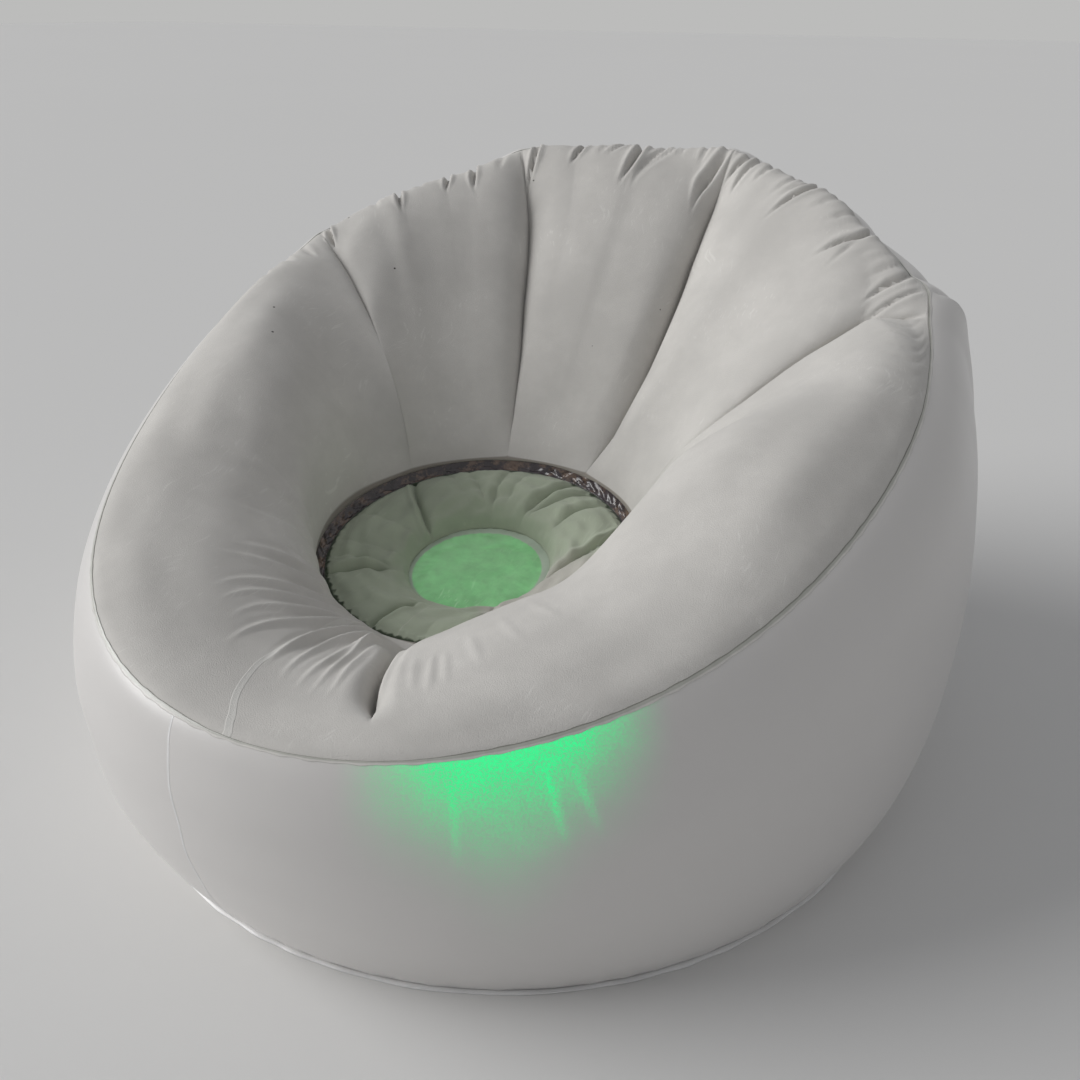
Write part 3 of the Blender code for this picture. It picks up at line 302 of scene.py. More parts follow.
# %% Sections of the bucket
STATIONS = np.radians([0, 45, 90, 120, 150, 180])
RING_LIFTS = 0.215 * np.array([0.16, 0.52, 1.17, 0.56, 0.33, 0.28])
RING_LEANS = np.radians([82, 103, 89, 77, 66, 60])
RIM_LIFTS = 0.100 * np.array([0.46, 0.78, 0.95, 1.00, 0.92, 0.90])
RIM_LEANS = np.radians([52, 44, 52, 62, 67, 68])
STATION_VALUES = (RING_LIFTS, RING_LEANS, RIM_LIFTS, RIM_LEANS)
CREASES = np.radians([12.0, 126.0, 168.5, 199.0, 235.5])
CREASE_LOW = np.array([(0.36, -0.10), (0.09, 0.42), (0.34, 0.23), (0.27, 0.27), (0.06, 0.49)])
CREASE_HIGH = np.array([(0.75, 0.70), (0.45, 0.68), (0.73, 0.55), (0.68, 0.57), (0.40, 0.71)])
CREASE_REACH = np.radians(32.0)
CREASE_NARROWING, NARROWED_AT = np.array([0.88, 0.0, 0.0, 0.0, 0.0]), 0.45


def at_station(values, angle):
    """A value along half the bucket: half a cosine joins each station to the next."""
    folded = np.abs(wrap(angle))
    upper = np.clip(np.searchsorted(STATIONS, folded, side="right"), 1, len(STATIONS) - 1)
    low, high = STATIONS[upper - 1], STATIONS[upper]
    share = (1 - np.cos(np.pi * (folded - low) / (high - low))) / 2
    return values[upper - 1] + share * (values[upper] - values[upper - 1])


def nearest_crease(angle, t):
    """Number of the nearest crease, and how far the lobe has swelled here, from 0 to 1: the
    quarter circle sqrt(1 - (1 - x)^2) of the turn away from the crease. A crease that ends on
    the way up reaches less far there."""
    turns = np.abs(wrap(angle[..., None] - CREASES))
    which = turns.argmin(-1)
    between = np.abs(wrap(CREASES[:, None] - CREASES)) + 10 * np.eye(len(CREASES))
    reach = np.minimum(CREASE_REACH, between.min(1) / 2)[which]
    reach = reach * (1 - CREASE_NARROWING[which] * ease(t, 0.0, NARROWED_AT))
    x = np.minimum(turns.min(-1) / reach, 1.0)
    return which, np.sqrt(1 - (1 - x) ** 2)


def bucket(angle, column, t, swelled=None):
    """The bucket at seat angles and shares t from ring to rim. `column` is the angle that the
    creases are looked up at, and swelled, if given, stands for the swelling everywhere."""
    ring, rim = seat_point(angle, RING_RADIUS, 0.0), rim_line(rim_angle(angle))
    reach, rise = np.hypot(*(rim - ring).T[:2]).T, rim[..., 2] - ring[..., 2]
    which, share = nearest_crease(column, t)
    share = share if swelled is None else swelled
    lift, lean, over, roll = (at_station(values, angle) for values in STATION_VALUES)
    full = [(lift * np.cos(lean), lift * np.sin(lean)),
            (reach - over * np.cos(roll), rise + over * np.sin(roll))]
    level = (rim - ring) * np.array([1.0, 1.0, 0.0]) / reach[..., None]
    middle = []
    for (out, up), deep in zip(full, (CREASE_LOW[which], CREASE_HIGH[which])):
        out = deep[..., 0] * reach + share * (out - deep[..., 0] * reach)
        up = deep[..., 1] * rise + share * (up - deep[..., 1] * rise)
        middle.append(ring + out[..., None] * level + up[..., None] * UP)
    return bezier(ring, *middle, rim, t[..., None])


# %% [markdown]
# ## Folds and gathers
#
# A flat sheet made to lie on a bowl has too much cloth in some places, and that cloth gathers
# into small ridges and folds. Each is a cross section that runs along a line over the sheet, and
# is added along the sheet's own normal. That keeps every wrinkle as real geometry, which catches
# the light from any side.

# %% Cross sections of a wrinkle, and the line that it follows
SHAPES = {
    "ridge": lambda u: (peak(u / np.where(u < 0, 0.65, 1.35), 1.4)
                        - 0.25 * peak((np.abs(u) - 2.1) / 0.9)),
    "fold": lambda u: (0.7 * peak((u - 1.3) / 0.9)
                       - 1.2 * peak(u / np.where(u < 0, 1.5, 0.5), 1.4)),
    "pleat": lambda u: 0.35 * peak((np.abs(u) - 1.9) / 1.2) - peak(u / 0.85, 1.2),
}


def follow(line, measure, power, here):
    """Angle of a line at the places here, and the line's two ends. The line is degrees and places
    in turn, the places in a measure; a polynomial of a power joins them, and stops at the ends."""
    degrees, places = np.reshape(line, (-1, 2)).T * [[1.0], [measure]]
    order = places.argsort()
    fit = np.polyfit(places[order], np.unwrap(np.radians(degrees[order])),
                     min(len(places) - 1, power))
    low, high = places.min(), places.max()
    return np.polyval(fit, np.clip(here, low, high)), low, high


def wrinkle(angle, t, radius, shape, width, height, fades, line):
    """Height of one wrinkle over a grid, from its width and height in millimetres. The distance
    across it is the turn from its line times the radius, and the height fades in and out over
    two shares of the line's length, where it also narrows."""
    middle, low, high = follow(line, 0.01, 3, t)
    fade = ease(t, low, low + fades[0] * (high - low))
    if fades[1]:
        fade = fade * (1 - ease(t, high - fades[1] * (high - low), high))
    across = wrap(angle - middle) * radius / (width * MILLIMETRE * (0.45 + 0.55 * fade))
    return height * MILLIMETRE * fade * SHAPES[shape](across)


# %% [markdown]
# The places of the wrinkles were found on the photograph. The fine ones lie at the front left,
# where the sheet turns its tightest corner. The deep ones gather the crown at the back.

# %% Wrinkles of the bucket
# Width, height, the two fades, then degrees about the seat and hundredths of the way up in turn
FRONT_WRINKLES = {
    "ridge": [
        (7.5, 2.6, .2, .6, 306, 2, 300, 25, 297, 42, 296, 66),
        (7, 2.8, .2, .6, 312, 2, 307, 25, 304, 42, 302, 68),
        (6, 2.8, .2, .6, 319, 2, 315, 26, 313, 42, 311, 60),
        (6, 5.5, .3, .75, 332.8, 6, 328.7, 22, 326.6, 26, 324.5, 29, 322.4, 33, 318.9, 41),
        (6, 5.5, .3, .75, 330.2, 20, 327.7, 34, 326.9, 38, 326.1, 42, 325.3, 47, 324.5, 53),
        (6.4, 7.5, .3, .75, 338.3, 12, 334, 29, 332, 36, 330, 43, 328, 51, 326.4, 59),
        (6.6, 9, .3, .75, 346.2, 8, 341.3, 28, 337.4, 36, 335.7, 45, 336.1, 53, 337, 61),
        (6.6, 9, .3, .75, 350.3, 8, 345.3, 28, 340.9, 36, 338.9, 45, 339.6, 53, 340.8, 61),
        (6.6, 8, .3, .7, 354.8, 6, 349.3, 28, 344.7, 36, 343, 45, 344, 53, 345.6, 61),
        (6.4, 8.6, .3, .65, 359, 6, 353.8, 27, 349.5, 38, 348, 49, 349.1, 60, 350.4, 68),
        (5.6, 8.2, .3, .4, 363.1, 6, 357, 31, 355.5, 40, 355.4, 50, 356.8, 59, 357.7, 65),
        (5.4, 6.6, .3, .6, 366.1, 6, 360.8, 30, 359.3, 41, 359.4, 52, 361.2, 62, 362.6, 70),
        (5.4, 6.8, .3, .6, 369.2, 6, 364.9, 36, 364, 46, 364, 55, 364.8, 65, 365.6, 73),
        (4.6, 5, .4, .6, 364.2, 16, 364.8, 27, 365.8, 40, 366.5, 53, 367.2, 66, 367.8, 74),
        (4.4, 3.4, .5, .6, 367.4, 30, 368.4, 45, 369.4, 59, 370.2, 74),
        (3.4, 1, .3, .4, 379.2, 50, 380.3, 62, 381.4, 72),
        (3.6, 1.6, .3, .4, 382.3, 52, 382.8, 60, 383.3, 74),
        (3.6, 1.2, .3, .4, 384.2, 52, 384.8, 60, 385.8, 72),
        (4, 1.2, .3, .4, 388, 46, 389, 56, 390.5, 68),
        (4, .9, .3, .4, 394, 42, 395, 52, 397, 64),
        (4.5, 1, .3, .4, 401, 40, 402, 50, 404, 60),
    ],
    "fold": [
        (5, 12, .3, .3, 370.6, 6, 371.9, 20, 373.2, 33, 373.8, 45, 374.3, 54, 375.3, 64, 377.5, 80),
    ],
}
# Angle about the base where a gather starts at the rim, its width and height, then its line
GATHERS = [
    (228, 3.6, 10, 221.9, 88, 222.2, 80, 222.2, 73.5),
    (219.25, 3.6, 10, 213.3, 90, 213.6, 84, 214, 77),
    (214.5, 3.6, 10.5, 208.9, 90, 209.1, 82, 208.9, 74.5),
    (202.6, 3.6, 17, 198.9, 95, 199.3, 89, 200.4, 82),
    (193.4, 4, 10, 191.8, 90, 192.3, 85.5, 193.3, 80),
    (187.3, 4, 5, 185.3, 90, 186.7, 84.2, 188, 79),
    (184.3, 4.6, 14, 182.3, 92, 182.6, 80.7, 183.7, 69),
    (180.9, 4.5, 5.5, 179.2, 87, 180.4, 79.8, 181, 69),
    (179.3, 4.5, 3.5, 177.9, 87, 179.7, 79, 180.9, 70), (177, 4.5, 3.5, 175.9, 90, 176.2, 84),
    (173.5, 4, 4.5, 172.2, 90, 172.2, 85),
    (169.8, 5, 15, 168.9, 94, 170, 87, 170.2, 80, 169.7, 71),
    (165.4, 5, 10, 165.8, 93.4, 166.5, 90, 167.8, 85),
    (163.6, 4.5, 6, 164, 93, 165, 87, 164.7, 79), (160.8, 4.5, 4.5, 161.6, 90, 162.5, 81),
    (157.8, 4.5, 3.5, 156.8, 86, 157.3, 80, 157.9, 74),
    (155.6, 4.5, 3, 154.6, 85, 155.4, 80.7, 156, 76),
    (152.2, 4.6, 12, 152.4, 89, 153.5, 80, 154.9, 69),
    (147.2, 5, 4, 148.5, 86, 149.1, 80, 149.9, 75),
    (142.8, 5, 4.5, 144.6, 87, 145.2, 80, 145.3, 75),
    (137.6, 5.2, 15, 139.3, 88, 140, 78.8, 141.3, 69),
    (137.2, 6, 5.5, 138.6, 86, 137.8, 77, 136.7, 68),
    (132.8, 5, 3.5, 135.4, 90, 135.9, 85, 135.1, 80), (131, 5, 4.5, 134, 91, 133.9, 85, 133.7, 80),
    (128.8, 5, 5, 131.8, 94, 131.5, 87.5, 131.2, 81), (126, 5, 14, 129, 95, 128.6, 89, 127.4, 81),
    (121.1, 3.6, 7, 125.8, 95, 125.6, 89, 125, 81),
    (116.6, 3.6, 10, 122.2, 95, 123.2, 90, 125.2, 83),
    (117.9, 4.5, 1.4, 119.8, 95, 120, 90, 122, 85),
    (114.8, 4.5, 1.5, 116.9, 95, 117.5, 86, 118.6, 78),
    (112.6, 4.5, 1.2, 114.3, 95, 113.7, 84, 115, 75),
    (110.2, 4.5, 1.4, 112, 95, 111.2, 83, 110.9, 74),
    (107.4, 4.5, 1.1, 109.2, 95, 108.2, 83, 107.5, 73),
    (103.8, 5, 1, 105.6, 95, 104.5, 84, 103.8, 74), (241.3, 3.6, 17, 235, 95, 235.4, 88),
    (232.5, 4.5, 3.5, 226, 90, 226, 83), (224, 4.5, 3, 218, 90, 218, 85),
    (208.5, 5, 3.5, 204.5, 90, 204.8, 83), (189.6, 5, 3, 188, 88, 188.4, 80),
    (247.5, 4.5, 4, 240.5, 90, 240, 80), (251.5, 5, 3.5, 244.5, 90, 244, 80),
    (256, 5, 3, 249.5, 90, 249.5, 82),
]
GATHER_FADES = (0.40, 0)
print("wrinkles:", sum(map(len, FRONT_WRINKLES.values())) + len(GATHERS))

# %% The bucket's grid
BUCKET_COLUMNS, BUCKET_ROWS = 900, 100
TIP_LIFTS = np.array([1.0, 0.10, 0.80, 0.50, 0.40])
TIP_STARTS = np.array([0.66, 0.84, 0.82, 0.82, 0.84])
TIP_ENDS = np.array([0.84, 1.0, 1.0, 1.0, 1.0])
# How far each crease strays from its angle, in degrees, at shares of the way up
PATH_SHARES = np.array([0.0, 0.16, 0.34, 0.42, 0.50, 0.64, 0.74, 0.84, 0.94, 1.0])
CREASE_PATHS = np.array([
    [-1, -.4, 1.2, 1.6, 2.1, 3.3, 4.7, 5.6, 5.8, 5.8],
    [0, -1.2, -2.8, -3, -3, -2.1, -1.5, -.5, -3.6, -4.2],
    [-6, -6.8, -5.2, -4.2, -3.2, -1.6, -.9, -.5, -.4, -.3],
    [-2.5, -2.3, -1.9, -1.4, -.9, -.6, -.1, .9, 2.2, 2.5],
    [0, 0, 0, 0, 0, 0, 0, .2, .6, .8]])
PATH_SPREADS = np.radians([9.0, 14.0, 13.0, 13.0, 14.0])
FINE_PLACES = np.radians([330, 338, 346, 354, 361, 367, 122, 129, 140, 154, 165, 170, 182, 192,
                          209, 214, 222, 235])


def bucket_skin(columns, t):
    """The finished bucket: the creased surface, its crease tops lifted, and every wrinkle added
    along the normal of the same surface without creases."""
    column, t = np.broadcast_arrays(columns[:, None], t[None, :])
    angle = column.copy()
    for crease, path, spread in zip(CREASES, CREASE_PATHS, PATH_SPREADS):
        stray = np.radians(np.interp(t, PATH_SHARES, path))
        angle += stray * peak(wrap(column - crease) / spread)
    smooth, creased = bucket(angle, column, t, swelled=1.0), bucket(angle, column, t)
    which, _ = nearest_crease(column, t)
    lifted = TIP_LIFTS[which] * ease(t, TIP_STARTS[which], TIP_ENDS[which])
    radius = np.hypot(smooth[..., 0] - SEAT_X, smooth[..., 1] - SEAT_Y)
    rise = np.zeros_like(t)
    for shape, rows in FRONT_WRINKLES.items():
        for width, height, start, end, *line in rows:
            rise += wrinkle(angle, t, radius, shape, width, height, (start, end), line)
    crown = scallop(rim_angle(column)) * ease(t, 0.60, 0.86)
    for rim_degrees, width, height, *line in GATHERS:
        line += [seen_angle(rim_degrees), 100]
        crown += wrinkle(angle, t, radius, "pleat", width, height, GATHER_FADES, line)
    calmer = 1 - 0.7 * peak(wrap(column - np.radians(138)) / 0.24)
    crown = np.where(crown > 0, crown * calmer, crown)
    rise += crown * (1 - 0.95 * ease(t, 0.94, 1.0))
    rise += 0.0010 * ripples(column, 4 * t, 3) * span(t, 0.0, 0.1, 0.9, 1.0)
    surface = creased + lifted[..., None] * (smooth - creased)
    return surface + rise[..., None] * face_normals(smooth)


columns = even_angles(BUCKET_COLUMNS, [*CREASES, *FINE_PLACES], 3.0, 1.2)
rows = crowded_rows(BUCKET_ROWS, 0.05)
bucket_grid = bucket_skin(columns, rows)
bucket_piece = skin("flocked_bucket", bucket_grid, BUCKET_SHEET, sheet_uv(columns, rows))
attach(bucket_piece, "chair")
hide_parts("bowl_panel")

# %% [markdown]
# ## The outer wall
#
# The wall is one strip of frosted vinyl, closed by a seam at the front left. Its section leaves
# the rim at one lean and meets the base at another, and the air rounds it between. It carries a
# map of degrees and metres below the rim, which the finish uses to place the green light.

# %% The wall's grid
WALL_COLUMNS, WALL_ROWS = 600, 88
EAR = 120.6  # degrees, where the wall stands out behind the crease at the right rear
GATHER_DEPTH, EAR_HEIGHT, PUCKER_HEIGHT = 0.0050, 0.0060, 0.0006
# Leans of the section in degrees, with their parts that go with the cosine and the double
# cosine of the angle, and how far each reaches, as a share of the line from hem to rim
HEM_LEAN, RIM_LEAN = (55.06, -1.87), (21.1, 35.7, -5.15)
HEM_ARM, RIM_ARM = 0.3328, 0.2086


def wall_surface(angle, t):
    """The wall at base angles and shares t from rim down to hem: a cubic curve between them."""
    foot = BASE_RADIUS * around(angle) + (WELD_THICKNESS + 0.0003) * UP
    rim = rim_line(angle)
    chord = np.linalg.norm(rim - foot, axis=-1)[..., None]
    turned, cosine = np.degrees(angle)[..., None] % 360, np.cos(angle)[..., None]
    low = np.radians(HEM_LEAN[0] + HEM_LEAN[1] * cosine)
    high = np.radians(RIM_LEAN[0] + RIM_LEAN[1] * cosine
                      + RIM_LEAN[2] * np.cos(2 * angle)[..., None]
                      + 15.0 * span(turned, 125, 137, 157, 172)
                      - 9.0 * peak((turned - 119.5) / 3.5))
    p1 = rim + RIM_ARM * chord * (np.cos(high) * around(angle) - np.sin(high) * UP)
    p2 = foot + HEM_ARM * chord * (np.cos(low) * around(angle) + np.sin(low) * UP)
    return bezier(rim, p1, p2, foot, t[..., None])


def wall_skin(angles, t):
    """The finished wall: gathers run down from the notches of the rim, and the hem puckers."""
    angle, t = np.broadcast_arrays(angles[:, None], t[None, :])
    grid = wall_surface(angle, t)
    rise = 0.0011 * ripples(angle, 3 * t, 5) * np.sin(np.pi * t)
    for notch in NOTCHES:
        across = wrap(angle - np.radians(notch)) * RIM_RADIUS
        gather = peak(across / (0.006 + 0.05 * t), 1) * span(t, 0.0, 0.05, 0.05, 0.28)
        rise -= GATHER_DEPTH * gather
    across = wrap(angle - np.radians(EAR)) * RIM_RADIUS
    rise += EAR_HEIGHT * peak(across / 0.010, 1) * span(t, 0.02, 0.14, 0.15, 0.27)
    pucker = np.sin(64 * angle + 2.5 * np.sin(9 * angle)) + 0.6 * np.sin(101 * angle)
    rise += PUCKER_HEIGHT * pucker * span(t, 0.86, 0.97, 0.97, 1.0)
    down = np.cumsum(np.linalg.norm(np.diff(grid, axis=1, prepend=grid[:, :1]), axis=2), 1)
    return grid + rise[..., None] * face_normals(grid), down


wall_angles = even_angles(WALL_COLUMNS, np.radians(NOTCHES), 2.0, 0.8)
wall_t = crowded_rows(WALL_ROWS, 0.04)
wall_grid, down = wall_skin(wall_angles, wall_t)
wall_piece = skin("frosted_wall", wall_grid, WALL_SHEET, sheet_uv(wrap(wall_angles), down))
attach(wall_piece, "chair")
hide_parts("side_wall")

# %% [markdown]
# The valve's neck comes out through the back, so the wall gets a round hole there. A Boolean cut
# is the plain way to open a finished sheet, and it is applied at once so that no cutter stays.

# %% Hole for the valve
VALVE_AXIS = np.array([0.0, 0.98674, -0.16232])
VALVE_PLACE = np.array([0.0, 0.61406, 0.3000])
HOLE_RADIUS, HOLE_DEPTH, HOLE_SIDES = 0.0152, 0.05, 64


def cut_round_hole(piece, place, axis, radius, depth):
    """Cut a round hole through a piece along an axis, and apply the cut."""
    side = unit(np.cross(axis, [1.0, 0.0, 0.0]))
    turn = np.linspace(0.0, TAU, HOLE_SIDES, endpoint=False)[:, None, None]
    ends = np.array([-0.5, 0.5])[None, :, None] * depth * axis
    rings = place + ends + radius * (np.cos(turn) * side + np.sin(turn) * np.cross(axis, side))
    index = np.arange(2 * HOLE_SIDES).reshape(-1, 2)
    cutter = mesh_object("hole_cutter", rings, grid_faces(HOLE_SIDES, 2, up_closes=False), None,
                         [index[::-1, 0].tolist(), index[:, 1].tolist()])
    cut = piece.modifiers.new("valve_hole", "BOOLEAN")
    cut.operation, cut.solver, cut.object = "DIFFERENCE", "EXACT", cutter
    with bpy.context.temp_override(object=piece, active_object=piece):
        bpy.ops.object.modifier_apply(modifier=cut.name)
    bpy.data.objects.remove(cutter)


before = len(wall_piece.data.polygons)
cut_round_hole(wall_piece, VALVE_PLACE, VALVE_AXIS, HOLE_RADIUS, HOLE_DEPTH)
print("faces of the wall, before and after the hole:", before, len(wall_piece.data.polygons))

# %% [markdown]
# ## Welds
#
# Where two sheets meet, a flat electrode melts them into a narrow band, thinner and glassier than
# the sheets. The rim's band bends over the edge. The two lap seams are strips that lie on a sheet,
# so they are laid over the finished grids, wrinkles and all.

# %% The rim band
RIM_HALF, RIM_THICKNESS = 0.0030, 0.0012


def toward(start, end, distance):
    """The point a distance from start on the way to end."""
    return start + distance * unit(end - start)


def band_loop(start, top, end, half_thickness, count=11):
    """A strip's cross section as one closed loop: a square curve through three points, moved
    out and back by half the thickness, which thins at both edges."""
    t = np.linspace(0.0, 1.0, count)[:, None]
    start, top, end = (p[:, None, :] for p in (start, top, end))
    middle = (1 - t) ** 2 * start + 2 * t * (1 - t) * top + t ** 2 * end
    slope = 2 * (1 - t) * (top - start) + 2 * t * (end - top)
    normal = unit(np.cross(slope, np.roll(middle, -1, 0) - np.roll(middle, 1, 0)))
    thin = half_thickness * np.sin(np.pi * (0.08 + 0.84 * t)) ** 0.35
    return np.concatenate([middle + thin * normal, (middle - thin * normal)[:, ::-1]], 1)


band_rim = rim_line(rim_angle(columns))
wall_side = wall_surface(rim_angle(columns)[:, None], np.array([[0.02]]))[:, 0]
bowl_side = bucket_grid[:, -4]
wavy = 0.0004 * (np.sin(83 * columns + 2 * np.sin(9 * columns)) + np.sin(127 * columns))[:, None]
outside = toward(band_rim, wall_side, RIM_HALF + wavy)
inside = toward(band_rim, bowl_side, RIM_HALF + 0.5 * wavy)
bend = band_rim + 0.4 * (band_rim - (outside + inside) / 2)
band_grid = band_loop(inside, bend, outside, RIM_THICKNESS / 2)
across = np.linspace(0, 1, band_grid.shape[1] // 2)
band_piece = mesh_object("rim_band", band_grid, grid_faces(*band_grid.shape[:2]),
                         sheet_uv(columns, np.append(across, across[::-1])))
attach(band_piece, "chair")
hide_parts("rim_weld")

# %% Lap seams
SEAM_HALF, SEAM_THICKNESS = 0.0014, 0.0003
LAP_HALF, LAP_THICKNESS = 0.0042, 0.00012
SEAM_PLACES = np.array([-1.0, -0.84, -0.66, -0.4, 0.4, 0.66, 0.84, 1.0])
SEAM_HEIGHTS = np.array([0.05, 1.0, 0.9, 0.3, 0.3, 0.9, 1.0, 0.05])
LAP_SHARES = [0.0, 0.22, 0.34, 0.46, 0.57, 0.64, 0.69, 0.76, 0.87, 0.96]
LAP_ANGLES = [360.0, 354.6, 353.5, 354.1, 355.6, 356.2, 357.1, 358.3, 360.1, 360.9]


def on_grid(grid, angles, shares, angle, t):
    """A point of a finished grid at any angle and share, by straight lines between its points."""
    before = (np.searchsorted(angles, angle % TAU, side="right") - 1) % len(angles)
    after = (before + 1) % len(angles)
    x = (wrap(angle - angles[before]) / wrap(angles[after] - angles[before]))[..., None]
    low = np.clip(np.searchsorted(shares, t, side="right") - 1, 0, len(shares) - 2)
    y = ((t - shares[low]) / (shares[low + 1] - shares[low]))[..., None]
    return ((1 - x) * (1 - y) * grid[before, low] + x * (1 - y) * grid[after, low]
            + (1 - x) * y * grid[before, low + 1] + x * y * grid[after, low + 1])


def lap_strip(name, grid, angles, shares, angle, t, half_width, thickness):
    """A strip laid on a grid along a line of angles and shares, with rounded edges."""
    middle = on_grid(grid, angles, shares, angle, t)
    radius = np.hypot(middle[:, 0], middle[:, 1])
    turn, share = np.broadcast_arrays(
        angle[:, None] + SEAM_PLACES * (half_width / radius)[:, None], t[:, None])
    points = on_grid(grid, angles, shares, turn, share)
    facing = thickness * on_grid(face_normals(grid), angles, shares, turn, share)
    top, under = points + SEAM_HEIGHTS[:, None] * facing, points - 0.4 * facing
    loops = np.concatenate([top, under[:, ::-1]], 1)
    count, around_it = loops.shape[:2]
    first = np.arange(around_it)
    return mesh_object(name, loops, grid_faces(count, around_it, round_closes=False), None,
                       [first[::-1].tolist(), (first + (count - 1) * around_it).tolist()])


seam_t = np.linspace(0.004, 0.996, 150)
wall_seam = lap_strip("wall_lap_seam", wall_grid, wall_angles, wall_t,
                      np.radians(353.2) + 0.004 * np.sin(5 * seam_t), seam_t,
                      SEAM_HALF, SEAM_THICKNESS)
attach(wall_seam, "chair")
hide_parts("side_wall_weld")
lap_line = np.interp(seam_t, LAP_SHARES, np.radians(LAP_ANGLES))
bucket_seam = lap_strip("bucket_lap_seam", bucket_grid, columns, rows, lap_line, seam_t,
                        LAP_HALF, LAP_THICKNESS)
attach(bucket_seam, "chair")
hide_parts("bowl_panel_weld")

# %% The hem
HEM_THICKNESS, HEM_REACH = 0.0011, 0.0055
hem_angles = even_angles(480)
wave = 0.5 + 0.5 * np.sin(41 * hem_angles + 3 * np.sin(7 * hem_angles))
hem_lift = 0.0004 + 0.0022 * wave * (0.6 + 0.4 * np.sin(13 * hem_angles))
beyond = np.stack(np.broadcast_arrays(-0.0045, 0.0, HEM_REACH + 0.0018 * wave), -1)[..., None]
lifts = np.stack(np.broadcast_arrays(0.0, 0.0001, hem_lift), -1)[..., None]
under = (BASE_RADIUS + beyond) * around(hem_angles)[:, None] + lifts * UP
hem_grid = np.concatenate([under, under[:, ::-1] + HEM_THICKNESS * UP], 1)
hem_piece = mesh_object("base_hem", hem_grid, grid_faces(*hem_grid.shape[:2]))
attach(hem_piece, "chair")
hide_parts("base_weld")

# %% The bottom, gathered by the hem
POCKET_MOUTH = 0.0556
bottom_angles = even_angles(600)
share = np.linspace(0.0, 1.0, 30)[None, :, None]
mouth_line = ([SEAT_X, SEAT_Y, 0.0] + POCKET_MOUTH * around(bottom_angles))[:, None]
hem_line = ((BASE_RADIUS - 0.0048) * around(bottom_angles))[:, None]
gather = 0.5 + 0.5 * np.sin(52 * bottom_angles + 1.5 * np.sin(11 * bottom_angles))
bottom_lift = 0.0006 + 0.0030 * gather[:, None, None] * span(share, 0.62, 0.93, 0.95, 1.0)
bottom_grid = mouth_line + share * (hem_line - mouth_line) + bottom_lift * UP
bottom_piece = skin("bottom_sheet", bottom_grid, THIN_SHEET, every=1)
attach(bottom_piece, "chair")
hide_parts("bottom_panel")

# %% [markdown]
# ## The seat
#
# The seat is a flocked ring that swells between the clear band outside and the window inside,
# held down at both. Its outer edge is crimped by the weld, and a few folds run across it.

# %% The seat's grid
SEAT_COLUMNS, SEAT_ROWS = 600, 64
WINDOW_RADIUS, WINDOW_DEPTH, WINDOW_DOME = 0.0936, 0.044, 0.006
# Depth and width of each fold, negative where its lip is on the side of smaller angles, then
# degrees about the seat and radii in turn
SEAT_FOLDS = [
    (16, 3.5, 235.3, 205, 240.7, 165, 248.7, 111, 252.4, 90),
    (17, 4, 347.9, 205, 347.6, 185, 346.4, 161, 347.9, 144, 350.8, 122),
    (17, -4, 308.4, 205, 307.7, 183, 306.4, 163, 305.7, 138, 306.8, 115),
    (6, 5, 297, 170, 298.5, 148, 301.1, 128, 305.6, 110),
    (15, 4, 125, 205, 114, 166, 96.4, 117, 89, 95),
    (9, 4.5, 24, 205, 27.6, 165, 35.9, 134, 40, 100), (6, 5, 214, 205, 209, 160, 203, 110),
    (7.5, 4.5, 193, 205, 196, 150, 198, 100), (11, 4.2, 164, 203, 166, 150, 172, 100),
    (10, 4.2, 152, 200, 158, 150, 166, 110), (8, 4.2, 141, 200, 143, 150, 140, 110),
    (4.5, 6, 222, 200, 218, 150, 214, 115), (4.5, 6, 184, 200, 186, 150, 188, 110),
    (4, 7, 286, 205, 288, 150, 290, 100), (3.5, 7, 268, 205, 266, 150, 264, 100),
    (3.5, 7, 70, 205, 66, 150, 62, 100), (3, 6, 335, 205, 334, 180, 333, 150),
    (3, 6, 300, 205, 301, 180, 302, 150), (3, 6, 324, 205, 325, 180, 326, 150),
    (3, 6, 8, 205, 9, 180, 11, 150),
]


def seat_surface(angle, t):
    """The seat from its window (t = 0) to its ring (t = 1): a cubic hump, drawn down along
    folds by two peaks of the distance across each, one wide and one narrow, and raised beside
    each by a bell curve, on the side that the sign of its width says."""
    inner = RING_RADIUS - RING_WIDTH
    radius = bezier(WINDOW_RADIUS, 1.08 * WINDOW_RADIUS, inner - 0.032, inner, t)
    front = (1 + np.cos(angle)) / 2
    lift = bezier(-WINDOW_DEPTH, 0.010 - 0.026 * front, 0.014 - 0.014 * front, -RING_DROP, t)
    sink = np.zeros_like(t)
    for depth, sharp, *line in SEAT_FOLDS:
        middle, low, _ = follow(line, MILLIMETRE, 2, radius)
        u = wrap(angle - middle) * radius / (sharp * MILLIMETRE)
        section = 0.45 * peak(u / 3.2, 1) + 0.70 * peak(u, 1) - 0.30 * peak((u - 2.6) / 1.5)
        sink += depth * MILLIMETRE * section * ease(radius, low - 0.012, low + 0.02)
    hump = np.clip(4 * t * (1 - t), 0, 1) ** 0.5
    crimp = (np.sin(83 * angle + 2.0 * np.sin(7 * angle))
             + 0.6 * np.sin(127 * angle + np.sin(5 * angle)))
    radius = radius - 0.0016 * (1 + crimp) * peak((t - 0.945) / 0.035)
    inner_crimp = np.sin(37 * angle + 1.7 * np.sin(5 * angle))
    edge = 0.0019 * crimp * ease(t, 0.84, 0.96) + 0.0008 * inner_crimp * (1 - ease(t, 0.05, 0.22))
    bumps = 0.0016 * ripples(angle, 5 * t, 11, most_round=16) * hump
    return seat_point(angle, radius, lift - sink * hump + edge * np.sin(np.pi * t) ** 0.5 + bumps)


